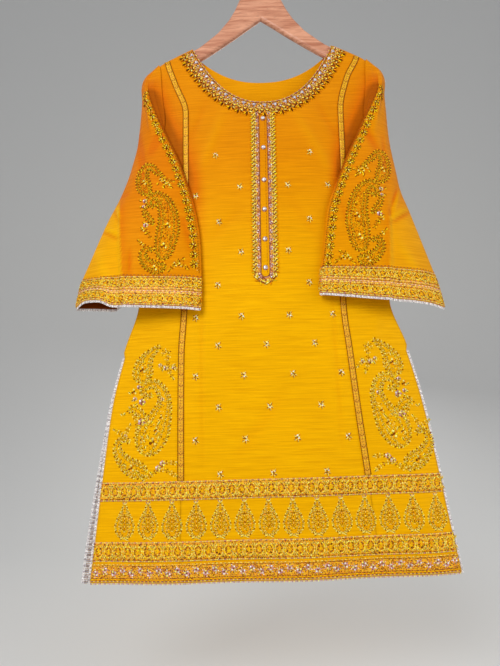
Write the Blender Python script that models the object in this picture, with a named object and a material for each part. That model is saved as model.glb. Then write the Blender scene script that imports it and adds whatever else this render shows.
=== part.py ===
"""A kameez, the long tunic of a salwar kameez suit, hanging flat on a wooden hanger.

Metres, +Z up, front towards -Y. The origin is the inside top of the hanger's hook, where a rail holds it.
Heights on the garment are given as "down", the distance below the shoulder seam's end at the neck.
"""

import math

import bmesh
import bpy
from mathutils import Vector

# Driving sizes
CLOTH = 0.0015            # wall of the cloth panels
BORDER = 0.0010           # wall of the borders and trims sewn on the panels
SEAM_GAP = 0.0003         # between two pieces that are sewn together
SHOULDER_Z = -0.213       # shoulder seam's end at the neck, below the hook
HEM = 0.920               # length of the panels from that point
NECK_HALF = 0.130         # half of the neck's width at the shoulder
FRONT_NECK_DROP = 0.124
BACK_NECK_DROP = 0.063
NECK_ROUNDNESS = 2.3      # exponent of both neck curves
SLEEVE_HEAD_X = 0.190     # where the shoulder seam ends and the sleeve begins
LEVEL = 0.300             # rows of the grid are level from here down
SLIT_TOP = 0.575          # the side slits open here
SLIT_STEP = 0.004         # half of the height in which the slit's edge draws in to make room for the lace
LACE = 0.0040             # width of the edging lace
ARC = 0.0090              # height over which the cloth rounds the hanger's top edge
SIDE_Y = CLOTH / 2 + SEAM_GAP / 2
SHOULDER_Y = 0.0004       # half of the gap along the shoulder seam
LAP = CLOTH + SEAM_GAP    # a sleeve's edge lies this far outside the panel it is sewn to
UNDER = [(0.180, 0.0026), (0.270, 0.0050), (0.440, 0.0052), (0.480, 0.0070)]
# down, how far the sleeve's under layer hangs in front of the body

# The shoulder line, which is the hanger's top edge with the cloth over it: distance from the middle, down
SHOULDER = [(0.000, -0.125), (0.105, -0.016), (0.130, 0.000), (0.158, 0.0145), (0.182, 0.028), (0.200, 0.042), (0.222, 0.0605)]

# Side of the garment: down, left edge, right edge. Armhole to the underarm, then side seam, then slit.
OUTLINE = [
    (0.034, -0.1900, 0.1900),
    (0.100, -0.1850, 0.1850),
    (0.145, -0.1810, 0.1790),
    (0.170, -0.1820, 0.1790),
    (0.200, -0.1870, 0.1830),
    (0.230, -0.1970, 0.1910),
    (0.262, -0.2220, 0.2080),
    (0.340, -0.2190, 0.2040),
    (0.420, -0.2160, 0.1980),
    (0.495, -0.2230, 0.1970),
    (0.568, -0.2460, 0.2190),
    (0.658, -0.2670, 0.2390),
    (0.745, -0.2770, 0.2515),
    (0.822, -0.2845, 0.2605),
    (0.924, -0.2940, 0.2735),
]

# Cross-section of the body: down, left side, right side, swell of the front, squareness.
# Above the underarm the sides stand for where the section would close if it had no armhole.
SECTIONS = [
    (0.000, -0.300, 0.300, 0.0095, 4.0),
    (0.060, -0.300, 0.300, 0.0100, 4.0),
    (0.150, -0.262, 0.256, 0.0190, 3.2),
    (0.262, -0.222, 0.208, 0.0260, 2.4),
    (0.420, -0.216, 0.198, 0.0240, 2.4),
    (0.568, -0.246, 0.219, 0.0200, 2.4),
    (0.745, -0.277, 0.2515, 0.0170, 2.4),
    (0.924, -0.294, 0.2735, 0.0150, 2.4),
]

# Seams between the front's centre and side panels: down, left seam, right seam
PRINCESS = [
    (0.000, -0.1790, 0.1780),
    (0.028, -0.1760, 0.1740),
    (0.075, -0.1620, 0.1520),
    (0.143, -0.1410, 0.1350),
    (0.250, -0.1410, 0.1320),
    (0.380, -0.1420, 0.1240),
    (0.505, -0.1450, 0.1165),
    (0.580, -0.1500, 0.1220),
    (0.690, -0.1510, 0.1300),
    (0.772, -0.1510, 0.1370),
    (0.924, -0.1530, 0.1480),
]

# Soft folds: from x, from down, to x, to down, half width, rise towards the viewer
FRONT_FOLDS = [
    (-0.166, 0.110, -0.160, 0.420, 0.014, -0.0045),
    (0.158, 0.110, 0.150, 0.420, 0.014, -0.0045),
    (-0.090, 0.180, -0.040, 0.420, 0.040, -0.0022),
    (0.070, 0.200, 0.100, 0.480, 0.036, 0.0020),
    (-0.116, 0.430, -0.118, 0.760, 0.013, 0.0016),
    (0.099, 0.430, 0.100, 0.760, 0.013, 0.0016),
    (-0.010, 0.560, -0.030, 0.900, 0.050, -0.0024),
    (0.200, 0.600, 0.225, 0.920, 0.030, 0.0022),
    (-0.215, 0.600, -0.235, 0.920, 0.030, 0.0022),
]
BACK_FOLDS = [
    (-0.080, 0.120, -0.120, 0.600, 0.040, 0.0040),
    (0.060, 0.150, 0.090, 0.700, 0.045, 0.0035),
    (0.000, 0.350, 0.010, 0.900, 0.040, -0.0030),
    (-0.190, 0.520, -0.230, 0.920, 0.030, 0.0026),
    (0.170, 0.540, 0.200, 0.920, 0.030, 0.0026),
]
HEM_WAVE = 0.0028         # height of the hem's waves
HEM_WAVE_LENGTH = 0.205
SLIT_SPREAD = 0.0030      # how far each panel's slit edge stands off by the hem
BACK_SHIFT = -0.012       # the back hangs this far to the left at the hem

# Hem borders on the front: top, bottom
HEM_BORDERS = {"hem_border_upper": (0.775, 0.803), "hem_border_middle": (0.862, 0.890), "hem_border_lower": (0.893, 0.916)}
NECK_BORDER = 0.032
PLACKET_X = [(0.150, -0.0040), (0.475, -0.0100)]   # down, middle of the placket
PLACKET_BOTTOM = 0.470
PLACKET_COLUMN = 0.0165   # width of each embroidered column
PLACKET_MIDDLE = 0.0130   # width of the plain strip between them
TRIM = 0.0120             # width of the princess seam trims
BUTTONS = [0.160, 0.219, 0.281, 0.335, 0.388, 0.438]   # down
BUTTON_RADIUS = 0.0036
BUTTON_HEIGHT = 0.0016

# Sleeves. Each row is a ring: down and x of the armhole or underarm seam, of the inner fold and of the
# outer edge, then how far the front layer swells and the radius of the inner fold.
SLEEVE_LEFT = [
    (0.046, -0.1880, 0.040, -0.1890, 0.034, -0.1905, 0.000, 0.0000),
    (0.053, -0.1875, 0.046, -0.1900, 0.0366, -0.1930, 0.000, 0.0000),
    (0.062, -0.1870, 0.052, -0.1960, 0.0442, -0.2040, 0.000, 0.0000),
    (0.082, -0.1855, 0.070, -0.2040, 0.0575, -0.2185, 0.001, 0.0000),
    (0.100, -0.1840, 0.086, -0.2090, 0.074, -0.2238, 0.003, 0.0012),
    (0.120, -0.1820, 0.112, -0.2030, 0.106, -0.2225, 0.006, 0.0022),
    (0.145, -0.1790, 0.142, -0.1930, 0.140, -0.2240, 0.009, 0.0028),
    (0.172, -0.1800, 0.170, -0.1815, 0.170, -0.2265, 0.012, 0.0032),
    (0.202, -0.1850, 0.200, -0.1690, 0.200, -0.2300, 0.014, 0.0035),
    (0.232, -0.1955, 0.230, -0.1560, 0.230, -0.2360, 0.016, 0.0035),
    (0.262, -0.2275, 0.262, -0.1450, 0.262, -0.2430, 0.017, 0.0035),
    (0.300, -0.2290, 0.300, -0.1330, 0.300, -0.2560, 0.018, 0.0035),
    (0.340, -0.2280, 0.340, -0.1240, 0.340, -0.2750, 0.019, 0.0035),
    (0.380, -0.2260, 0.380, -0.1180, 0.380, -0.2910, 0.020, 0.0035),
    (0.420, -0.2250, 0.420, -0.1160, 0.420, -0.3040, 0.021, 0.0038),
    (0.455, -0.2245, 0.458, -0.1155, 0.450, -0.3130, 0.022, 0.0040),
    (0.500, -0.2240, 0.506, -0.1165, 0.494, -0.3190, 0.024, 0.0042),
]
SLEEVE_RIGHT = [
    (0.046, 0.1880, 0.040, 0.1890, 0.034, 0.1905, 0.000, 0.0000),
    (0.053, 0.1875, 0.046, 0.1900, 0.0366, 0.1930, 0.000, 0.0000),
    (0.062, 0.1870, 0.052, 0.1960, 0.0442, 0.2040, 0.000, 0.0000),
    (0.082, 0.1855, 0.070, 0.2040, 0.0575, 0.2185, 0.001, 0.0000),
    (0.100, 0.1835, 0.086, 0.2070, 0.074, 0.2238, 0.003, 0.0012),
    (0.120, 0.1810, 0.112, 0.2000, 0.106, 0.2205, 0.006, 0.0022),
    (0.145, 0.1770, 0.142, 0.1860, 0.140, 0.2205, 0.009, 0.0028),
    (0.172, 0.1770, 0.170, 0.1720, 0.170, 0.2205, 0.012, 0.0032),
    (0.202, 0.1810, 0.200, 0.1580, 0.200, 0.2215, 0.014, 0.0035),
    (0.232, 0.1895, 0.230, 0.1430, 0.230, 0.2235, 0.015, 0.0035),
    (0.262, 0.2135, 0.262, 0.1290, 0.262, 0.2260, 0.016, 0.0035),
    (0.300, 0.2140, 0.300, 0.1130, 0.300, 0.2300, 0.017, 0.0035),
    (0.340, 0.2130, 0.340, 0.0990, 0.340, 0.2420, 0.018, 0.0035),
    (0.380, 0.2110, 0.380, 0.0920, 0.380, 0.2530, 0.019, 0.0035),
    (0.420, 0.2090, 0.420, 0.0860, 0.420, 0.2620, 0.020, 0.0038),
    (0.460, 0.2075, 0.452, 0.0800, 0.465, 0.2710, 0.021, 0.0040),
    (0.500, 0.2060, 0.487, 0.0770, 0.511, 0.2780, 0.022, 0.0042),
]
UNDERARM_GAP = 0.0009     # between the middle surfaces, as both walls lean towards the seam
UNDERARM_ROW = 10         # from this row down the ring is closed
SLEEVE_SPANS = (1, 2, 2, 2, 2, 2, 2, 2, 2, 2, 1)   # grid columns between two control points of a ring
SLEEVE_STEPS = (1, 1, 1, 1, 1, 1, 2, 2, 2, 2, 1, 2, 2, 1, 2, 4)   # grid rows between two rings
TRIM_COLUMNS = (7, 9)     # first and last grid column under the sleeve's trim
SLEEVE_TRIM = 0.018
CUFF_BORDER_ROWS = 4      # last grid rows of the sleeve that the cuff border covers
ARCH_ANGLES = (0, 12, 22, 32, 42, 52, 62, 75, 90, 116, 146, 180)   # round a ring over the hanger's arm

# Hanger: distance from the middle, top edge, bottom edge, as heights below the hook
HANGER = [
    (0.000, -0.0660, -0.1500),
    (0.014, -0.0680, -0.1605),
    (0.027, -0.0800, -0.1705),
    (0.039, -0.1040, -0.1800),
    (0.050, -0.1300, -0.1885),
    (0.061, -0.1500, -0.1965),
    (0.082, -0.1770, -0.2120),
    (0.105, -0.1975, -0.2280),
]
HANGER_LOWER = [(0.130, -0.2430), (0.158, -0.2570), (0.182, -0.2690), (0.199, -0.2775)]
HANGER_SEAT = 0.0022      # the cloth's middle surface lies this far above the wood
HANGER_TIP_X = 0.2125     # where the shoulder line leaves the rounded tip
HANGER_TIP_RADIUS = 0.0070
HANGER_THICK = 0.0120
HANGER_ROUND = 0.0050
WIRE = 0.0020             # radius of the hook's wire
HOOK_RADIUS = 0.0220      # of the wire's middle line
HOOK_START = math.radians(-62)
HOOK_END = math.radians(196)


def value(table, column, at):
    """Smooth value of a column of a table, whose first column is in rising order."""
    if at <= table[0][0]:
        return table[0][column]
    if at >= table[-1][0]:
        return table[-1][column]
    i = max(k for k in range(len(table) - 1) if table[k][0] <= at)
    x0, x1 = table[i][0], table[i + 1][0]
    y0, y1 = table[i][column], table[i + 1][column]

    def slope(k):
        if k == 0 or k == len(table) - 1:
            return (y1 - y0) / (x1 - x0)
        below = (table[k][column] - table[k - 1][column]) / (table[k][0] - table[k - 1][0])
        above = (table[k + 1][column] - table[k][column]) / (table[k + 1][0] - table[k][0])
        return 0.0 if below * above <= 0 else 2 * below * above / (below + above)

    t = (at - x0) / (x1 - x0)
    h = x1 - x0
    return (
        (2 * t**3 - 3 * t**2 + 1) * y0
        + (t**3 - 2 * t**2 + t) * h * slope(i)
        + (-2 * t**3 + 3 * t**2) * y1
        + (t**3 - t**2) * h * slope(i + 1)
    )


def ramp(at, start, end):
    """0 before start, 1 after end, smooth between."""
    t = min(1.0, max(0.0, (at - start) / (end - start)))
    return t * t * (3 - 2 * t)


def mix(a, b, t):
    return a + (b - a) * t


def shoulder_down(x):
    return value(SHOULDER, 1, abs(x))


def fold_rise(folds, x, down):
    """Sum of the soft folds at a point of a panel."""
    total = 0.0
    for x0, d0, x1, d1, width, rise in folds:
        dx, dd = x1 - x0, d1 - d0
        t = min(1.0, max(0.0, ((x - x0) * dx + (down - d0) * dd) / (dx * dx + dd * dd)))
        off = math.hypot(x - x0 - dx * t, down - d0 - dd * t) / width
        total += rise * math.exp(-off * off) * math.sin(math.pi * min(1.0, max(0.08, t))) ** 0.6
    return total


def depth(x, down, folds, phase):
    """Distance of a panel's middle surface from the plane of the hanger."""
    left, right = value(SECTIONS, 1, down), value(SECTIONS, 2, down)
    across = min(1.0, abs(x - (left + right) / 2) / ((right - left) / 2))
    lens = 1 - across ** value(SECTIONS, 4, down)
    clear = ramp(down, shoulder_down(x) + 0.03, shoulder_down(x) + 0.09) * min(1.0, 3 * lens)
    wave = HEM_WAVE * math.sin(2 * math.pi * x / HEM_WAVE_LENGTH + phase) * ramp(down, 0.60, HEM)
    full = SIDE_Y + value(SECTIONS, 3, down) * lens
    full += clear * (fold_rise(folds, x, down) + wave)
    full += SLIT_SPREAD * ramp(down, SLIT_TOP, HEM)
    drop = min(1.0, max(0.0, (down - shoulder_down(x)) / ARC))
    return mix(SHOULDER_Y, full, math.sqrt(1 - (1 - drop) ** 2))


def front_point(x, down):
    return Vector((x, -depth(x, down, FRONT_FOLDS, 0.6), SHOULDER_Z - down))


def back_point(x, down):
    return Vector((x, depth(x, down, BACK_FOLDS, 2.4), SHOULDER_Z - down))


def front_normal(x, down):
    step = 0.002
    across = front_point(x + step, down) - front_point(x - step, down)
    along = front_point(x, down + step) - front_point(x, down - step)
    return across.cross(-along).normalized()


def neck_down(x, drop):
    """The top edge of a panel: neck curve in the middle, shoulder line outside it."""
    if abs(x) >= NECK_HALF:
        return shoulder_down(x)
    return drop * (1 - (abs(x) / NECK_HALF) ** NECK_ROUNDNESS)


def edge_x(side, down, inset=0.0):
    """Outer edge of a panel on a side, -1 left or 1 right, drawn in by the lace below the slit's top."""
    column = 1 if side < 0 else 2
    return value(OUTLINE, column, down) - side * inset * ramp(down, SLIT_TOP - SLIT_STEP, SLIT_TOP + SLIT_STEP)


def princess_x(side, down):
    return value(PRINCESS, 1 if side < 0 else 2, down)


def material(name, colour, roughness, metallic=0.0):
    made = bpy.data.materials.get(name)
    if made is None:
        made = bpy.data.materials.new(name)
        made.use_nodes = True
        shader = made.node_tree.nodes["Principled BSDF"]
        shader.inputs["Base Color"].default_value = (*colour, 1)
        shader.inputs["Roughness"].default_value = roughness
        shader.inputs["Metallic"].default_value = metallic
    return made


def add_object(name, bm, finish):
    mesh = bpy.data.meshes.new(name)
    bm.to_mesh(mesh)
    bm.free()
    mesh.materials.append(finish)
    mesh.shade_smooth()
    mesh.set_sharp_from_angle(angle=math.radians(40))
    made = bpy.data.objects.new(name, mesh)
    bpy.context.scene.collection.objects.link(made)
    return made


def sheet(name, rows, outward, thickness, finish):
    """A wall through a grid of points. outward(point) says which way its outside faces.
    Returns the grid's points with their normals, from which a trim that lies on the wall is made."""
    bm = bmesh.new()
    across, along = len(rows[0]) - 1, len(rows) - 1
    bmesh.ops.create_grid(bm, x_segments=across, y_segments=along, size=1.0)
    bm.verts.ensure_lookup_table()
    for j, row in enumerate(rows):
        for i, point in enumerate(row):
            bm.verts[j * (across + 1) + i].co = point
    bm.normal_update()
    middle = bm.verts[(along // 2) * (across + 1) + across // 2]
    if middle.normal.dot(outward(middle.co)) < 0:
        bmesh.ops.reverse_faces(bm, faces=bm.faces)
        bm.normal_update()
    bm.verts.ensure_lookup_table()
    grid = [
        [(v.co.copy(), v.normal.copy()) for v in bm.verts[j * (across + 1):(j + 1) * (across + 1)]]
        for j in range(along + 1)
    ]
    made = add_object(name, bm, finish)
    wall = made.modifiers.new("wall", "SOLIDIFY")
    wall.thickness = thickness
    wall.offset = 0
    return grid


def laid_on(grid, thickness=BORDER):
    """The points of a trim that lies on part of a panel's grid."""
    out = CLOTH / 2 + SEAM_GAP + thickness / 2
    return [[point + normal * out for point, normal in row] for row in grid]


def forward(_):
    return Vector((0, -1, 0))


def backward(_):
    return Vector((0, 1, 0))


def levels():
    """Downs of the level grid rows, with a row at each edge of the hem borders."""
    edges = sorted({d for pair in HEM_BORDERS.values() for d in pair})
    upper = [0.335, 0.375, 0.420, 0.465, 0.515, SLIT_TOP - SLIT_STEP, SLIT_TOP + SLIT_STEP, 0.615, 0.652, 0.692, 0.733]
    return upper + edges[:2] + [0.832] + edges[2:] + [HEM]


def panel_rows(columns, left_x, right_x, drop):
    """Grid of x and down for a panel. columns are shares of its width. The top rows follow its top edge."""
    ends = []
    for edge in (left_x, right_x):
        x = edge(0.03)
        for _ in range(6):
            x = edge(neck_down(x, drop))
        ends.append(x)
    tops = [neck_down(mix(ends[0], ends[1], u), drop) for u in columns]
    rows = []
    for offset in (0.0, 0.0006, 0.0030, ARC):
        x0, x1 = left_x(tops[0] + offset), right_x(tops[-1] + offset)
        rows.append([(mix(x0, x1, u), neck_down(mix(x0, x1, u), drop) + offset) for u in columns])
    for share in (0.14, 0.30, 0.46, 0.62, 0.80, 1.0):
        downs = [mix(top + ARC, LEVEL, share) for top in tops]
        x0, x1 = left_x(downs[0]), right_x(downs[-1])
        rows.append([(mix(x0, x1, u), down) for u, down in zip(columns, downs)])
    for down in levels():
        x0, x1 = left_x(down), right_x(down)
        rows.append([(mix(x0, x1, u), down) for u in columns])
    return rows


def build_front(finish, border, lace):
    """Centre panel, two side panels, the trims on their seams, and the hem borders across all three."""
    half_gap = SEAM_GAP / 2
    half_columns = [0.0, 0.022, 0.078, 0.133, 0.143, 0.162, 0.200, 0.255, 0.330, 0.410]

    def centre_left(down):
        return princess_x(-1, down) + half_gap

    def centre_right(down):
        return princess_x(1, down) - half_gap

    columns = half_columns + [0.5] + [1 - c for c in reversed(half_columns)]
    rows = panel_rows(columns, centre_left, centre_right, FRONT_NECK_DROP)
    centre = sheet(
        "front_centre", [[front_point(x, d) for x, d in row] for row in rows], forward, CLOTH, finish
    )

    sides = {}
    for side, name in ((-1, "left"), (1, "right")):

        def outer(down):
            return edge_x(side, down, LACE + SEAM_GAP)

        def inner(down):
            return princess_x(side, down) + side * half_gap

        shares = [0.0, 0.2, 0.42, 0.66, 0.88, 1.0]
        ends = (outer, inner) if side < 0 else (inner, outer)
        if side > 0:
            shares = [1 - s for s in reversed(shares)]
        rows = panel_rows(shares, *ends, FRONT_NECK_DROP)
        grid = [[front_point(x, d) for x, d in row] for row in rows]
        sides[side] = sheet("front_side_" + name, grid, forward, CLOTH, finish)

    first_trim_row = 2
    border_row = len(centre) - len(levels()) + levels().index(HEM_BORDERS["hem_border_upper"][0])
    for side, name in ((-1, "left"), (1, "right")):
        rows = []
        for j in range(first_trim_row, border_row + 1):
            if side < 0:
                rows.append(sides[side][j][-2:] + centre[j][1:2])
            else:
                rows.append(centre[j][-2:-1] + sides[side][j][:2])
        short = 0.015
        rows[-1] = [(a[0].lerp(b[0], short), a[1]) for a, b in zip(rows[-1], rows[-2])]
        sheet("princess_trim_" + name, laid_on(rows), forward, BORDER, border)

    downs = levels()
    first_level = len(centre) - len(downs)
    for name, (top, bottom) in HEM_BORDERS.items():
        rows = []
        for j in range(first_level + downs.index(top), first_level + downs.index(bottom) + 1):
            rows.append(sides[-1][j][:-1] + centre[j] + sides[1][j][1:])
        sheet(name, laid_on(rows), forward, BORDER, border)

    slit_row = first_level + downs.index(SLIT_TOP + SLIT_STEP)
    bottom = sides[-1][-1][:-1] + centre[-1] + sides[1][-1][1:]
    build_edging("front_edging", sides[-1], sides[1], bottom, slit_row, forward, lace)


def build_edging(name, left_grid, right_grid, bottom, slit_row, outward, finish):
    """Lace along a panel's left slit edge, hem and right slit edge, in one strip."""
    path = [row[0] for row in left_grid[slit_row:-1]] + bottom
    path += [row[-1] for row in reversed(right_grid[slit_row:-1])]
    inner, outer = [], []
    for k, (point, normal) in enumerate(path):
        before = path[max(0, k - 1)][0]
        after = path[min(len(path) - 1, k + 1)][0]
        along = (after - point).normalized() + (point - before).normalized()
        away = along.cross(normal)
        if away.dot(point - Vector((0, 0, SHOULDER_Z - HEM / 2))) < 0:
            away = -away
        away = Vector((away.x, 0, away.z)).normalized()
        corner = 1.4 if point is left_grid[-1][0][0] or point is right_grid[-1][-1][0] else 1.0
        inner.append(point + away * SEAM_GAP * corner)
        outer.append(point + away * (SEAM_GAP + LACE) * corner)
    sheet(name, [inner, outer], outward, BORDER, finish)


def build_back(finish, lace):
    """The back in one piece, hanging a little to the left below the slits."""

    def shift(down):
        return BACK_SHIFT * ramp(down, SLIT_TOP, HEM)

    def left(down):
        return edge_x(-1, down, LACE + SEAM_GAP) + shift(down)

    def right(down):
        return edge_x(1, down, LACE + SEAM_GAP) + shift(down)

    neck = [0.5 - x / (2 * SLEEVE_HEAD_X) for x in (NECK_HALF, NECK_HALF - 0.003, NECK_HALF - 0.011)]
    columns = [0.0, 0.030, 0.09] + neck + [0.24, 0.31, 0.40, 0.5]
    columns += [1 - c for c in reversed(columns[:-1])]
    rows = panel_rows(columns, left, right, BACK_NECK_DROP)
    grid = sheet("back", [[back_point(x, d) for x, d in row] for row in rows], backward, CLOTH, finish)
    downs = levels()
    slit_row = len(grid) - len(downs) + downs.index(SLIT_TOP + SLIT_STEP)
    build_edging("back_edging", grid, grid, grid[-1], slit_row, backward, lace)


def spline(points, spans):
    """Smooth open curve through points, with a given number of steps between each two."""
    ends = [points[0] * 2 - points[1]] + points + [points[-1] * 2 - points[-2]]
    found = []
    for k, steps in enumerate(spans):
        p0, p1, p2, p3 = ends[k:k + 4]
        a = math.sqrt(max(1e-6, (p1 - p0).length))
        b = math.sqrt(max(1e-6, (p2 - p1).length))
        c = math.sqrt(max(1e-6, (p3 - p2).length))
        m1 = (p2 - p1) + ((p1 - p0) / a - (p2 - p0) / (a + b)) * b
        m2 = (p2 - p1) + ((p3 - p2) / c - (p3 - p1) / (b + c)) * b
        for s in range(steps):
            t = s / steps
            found.append(
                p1 * (2 * t**3 - 3 * t**2 + 1) + m1 * (t**3 - 2 * t**2 + t)
                + p2 * (-2 * t**3 + 3 * t**2) + m2 * (t**3 - t**2)
            )
    found.append(points[-1])
    return found


def front_depth(x, down, side):
    """Depth of the body's front under a sleeve. Outside the side seam it is that of the seam."""
    inside = min(abs(x), abs(edge_x(side, down)))
    return depth(side * inside, down, FRONT_FOLDS, 0.6)


def arch(row, side):
    """A ring over the hanger's arm. Near the seam it lies on the panels, further out it takes their height."""
    seam_d, seam_x, _, _, out_d, out_x, _, _ = row
    sag = out_d - shoulder_down(out_x)
    made = []
    for degrees in ARCH_ANGLES:
        rise = math.sin(math.radians(degrees))
        x = mix(seam_x, out_x, rise)
        down = mix(seam_d, shoulder_down(x) + sag, rise) - sag
        lap = (LAP + 0.0008) * (1 - ramp(abs(x), SLEEVE_HEAD_X + 0.003, 0.207))
        point = front_point(x, down) if degrees <= 90 else back_point(x, down)
        normal = front_normal(x, down)
        if degrees == 90:
            normal = Vector((0, 0, 1))
        if degrees > 90:
            normal.y = -normal.y
        made.append(point + normal * lap - Vector((0, 0, sag)))
    return made


def sleeve_ring(row, side, closed, last_open):
    """Control points of one ring of a sleeve, from the seam on the front round to the seam on the back."""
    seam_d, seam_x, fold_d, fold_x, out_d, out_x, swell, radius = row
    under = value(UNDER, 1, fold_d)
    front_y = -front_depth(seam_x, seam_d, side) - (under if closed else LAP)
    back_y = depth(seam_x, seam_d, BACK_FOLDS, 2.4) + LAP
    overlap = min(1.0, side * (seam_x - fold_x) / (4 * radius))
    under_y = -front_depth(fold_x, fold_d, side) - under
    out_y = mix(0.0, -0.0095, ramp(seam_d, 0.20, 0.29))
    middle_x = mix(seam_x, fold_x, 0.5)
    middle_d = mix(seam_d, fold_d, 0.5)
    trim_start = min(radius * 1.2, 0.15 * abs(out_x - fold_x))
    trim_end = min(trim_start + SLEEVE_TRIM, 0.5 * abs(out_x - fold_x))
    front_fold_y = under_y - 2 * radius
    turned = max(0.0, overlap)
    fold_y = under_y - radius
    middle_y = -front_depth(middle_x, middle_d, side) - under
    before_x = mix(mix(seam_x, fold_x, 0.67), fold_x + side * radius * 0.8, turned)
    trim_y = mix(front_fold_y, out_y - radius, 0.15) - swell * 0.35
    points = [
        (seam_x, front_y, seam_d),
        (middle_x, mix(mix(front_y, fold_y, 0.33), middle_y, turned), middle_d),
        (before_x, mix(mix(front_y, fold_y, 0.67), under_y, turned), fold_d),
        (fold_x, fold_y, fold_d),
        (fold_x + side * trim_start, front_fold_y, fold_d),
        (fold_x + side * trim_end, trim_y, mix(fold_d, out_d, trim_end / abs(out_x - fold_x))),
    ]
    for share, rise in ((0.60, 0.9), (0.88, 0.5)):
        y = mix(front_fold_y, out_y - radius, share) - swell * rise * 0.8
        points.append((mix(fold_x, out_x, share), y, mix(fold_d, out_d, share)))
    points.append((out_x, out_y, out_d))
    if closed:
        for share in (0.35, 0.70):
            points.append((mix(out_x, seam_x, share), mix(out_y, front_y, 0.6) - 0.0004, mix(out_d, seam_d, share)))
        points.append((seam_x + side * UNDERARM_GAP, front_y, seam_d))
    else:
        for share, reach in ((0.30, 0.62), (0.65, 0.92)):
            points.append((mix(out_x, seam_x, share), mix(out_y, back_y, reach), mix(out_d, seam_d, share)))
        points.append((seam_x + side * 0.002, 0.0010, seam_d) if last_open else (seam_x, back_y, seam_d))
    return [Vector((x, y, SHOULDER_Z - down)) for x, y, down in points]


def build_sleeve(name, table, side, finish, border, lace):
    """A sleeve cut in one piece, with the borders at its cuff and along its inner fold, and the cuff's lace."""
    rings = []
    for k, row in enumerate(table):
        if row[-1] == 0.0:
            rings.append(arch(row, side))
        else:
            rings.append(sleeve_ring(row, side, k > UNDERARM_ROW, k == UNDERARM_ROW))
    lines = [spline([ring[i] for ring in rings], SLEEVE_STEPS) for i in range(len(rings[0]))]
    rows = [spline([line[j] for line in lines], SLEEVE_SPANS) for j in range(len(lines[0]))]
    for row in rows:
        for point in row[1:TRIM_COLUMNS[0] - 1]:
            down = SHOULDER_Z - point.z
            if abs(point.x) < abs(edge_x(side, down)) and down > 0.10:
                clear = front_depth(point.x, down, side) + value(UNDER, 1, down)
                point.y = min(point.y, -clear)
    middle_x = table[-1][3] + 0.4 * (table[-1][5] - table[-1][3])

    def outward(point):
        return Vector((0, -1, 0)) if abs(point.x - middle_x) < 1 else Vector((0, 1, 0))

    grid = sheet("sleeve_" + name, rows, outward, CLOTH, finish)
    cuff = [row for row in grid[-CUFF_BORDER_ROWS - 1:-1]]
    sheet("cuff_border_" + name, laid_on(cuff), outward, BORDER, border)
    first, last = TRIM_COLUMNS
    trim = [row[first:last + 1] for row in grid[4:-CUFF_BORDER_ROWS - 1]]
    trim.append([(a[0].lerp(b[0], 0.05), a[1]) for a, b in zip(grid[-CUFF_BORDER_ROWS - 1][first:last + 1], trim[-1])])
    sheet("sleeve_trim_" + name, laid_on(trim), outward, BORDER, border)
    edge = [point for point, _ in grid[-1]]
    down = Vector((0, 0, -1))
    lace_rows = [[p + down * SEAM_GAP for p in edge], [p + down * (SEAM_GAP + LACE) for p in edge]]
    sheet("cuff_edging_" + name, lace_rows, outward, BORDER, lace)


def on_front(x, down, thickness=BORDER):
    """A point of something that lies on the front without following its grid lines."""
    slack = 0.0006
    return front_point(x, down) + front_normal(x, down) * (CLOTH / 2 + SEAM_GAP + slack + thickness / 2)


def build_neck_border(finish):
    """Border along the front neck edge, measured square to the edge."""
    steps = 28
    reach = 0.955
    rows = []
    for k in range(steps + 1):
        x = NECK_HALF * reach * math.sin(math.pi / 2 * mix(-1, 1, k / steps))
        d = neck_down(x, FRONT_NECK_DROP)
        step = 0.0005
        slope = (neck_down(x + step, FRONT_NECK_DROP) - neck_down(x - step, FRONT_NECK_DROP)) / (2 * step)
        away = Vector((-slope, 1.0)).normalized()
        row = []
        for share in (0.02, 0.35, 0.68, 1.0):
            px, pd = x + away.x * NECK_BORDER * share, d + away.y * NECK_BORDER * share
            row.append(on_front(px, max(pd, shoulder_down(px) + ARC)))
        rows.append(row)
    sheet("neck_border", rows, forward, BORDER, finish)


def placket_middle(down):
    return value(PLACKET_X, 1, down)


def build_placket(border, stone):
    """Embroidered strip down both sides of the placket and round its foot, and its six buttons."""
    top = FRONT_NECK_DROP + NECK_BORDER + 0.0015
    inner, outer = PLACKET_MIDDLE / 2, PLACKET_MIDDLE / 2 + PLACKET_COLUMN
    straight_end = PLACKET_BOTTOM - outer
    steps = 13
    path = [(-1.0, 0.0, mix(top, straight_end, k / steps)) for k in range(steps + 1)]
    turn = 8
    path += [
        (-math.cos(math.pi * k / turn), math.sin(math.pi * k / turn), straight_end) for k in range(1, turn)
    ]
    path += [(1.0, 0.0, mix(straight_end, top, k / steps)) for k in range(steps + 1)]
    rows = []
    for side_share, foot_share, down in path:
        row = []
        for reach in (inner, (inner + outer) / 2, outer):
            x = placket_middle(down) + side_share * reach
            row.append(on_front(x, down + foot_share * reach))
        rows.append(row)
    sheet("placket_border", rows, forward, BORDER, border)
    for number, down in enumerate(BUTTONS, 1):
        build_button("button_%d" % number, placket_middle(down), down, stone)


def build_button(name, x, down, finish):
    """A small domed stone button, sewn flat on the placket."""
    bm = bmesh.new()
    bmesh.ops.create_uvsphere(bm, u_segments=12, v_segments=6, radius=1.0)
    lift = CLOTH / 2 + SEAM_GAP + BUTTON_HEIGHT
    if down < FRONT_NECK_DROP + NECK_BORDER:
        lift += BORDER + SEAM_GAP
    for vert in bm.verts:
        vert.co = Vector((vert.co.x * BUTTON_RADIUS, vert.co.y * BUTTON_RADIUS, vert.co.z * BUTTON_HEIGHT))
    made = add_object(name, bm, finish)
    normal = front_normal(x, down)
    made.location = front_point(x, down) + normal * lift
    made.rotation_euler = normal.to_track_quat("Z", "Y").to_euler()


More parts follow.
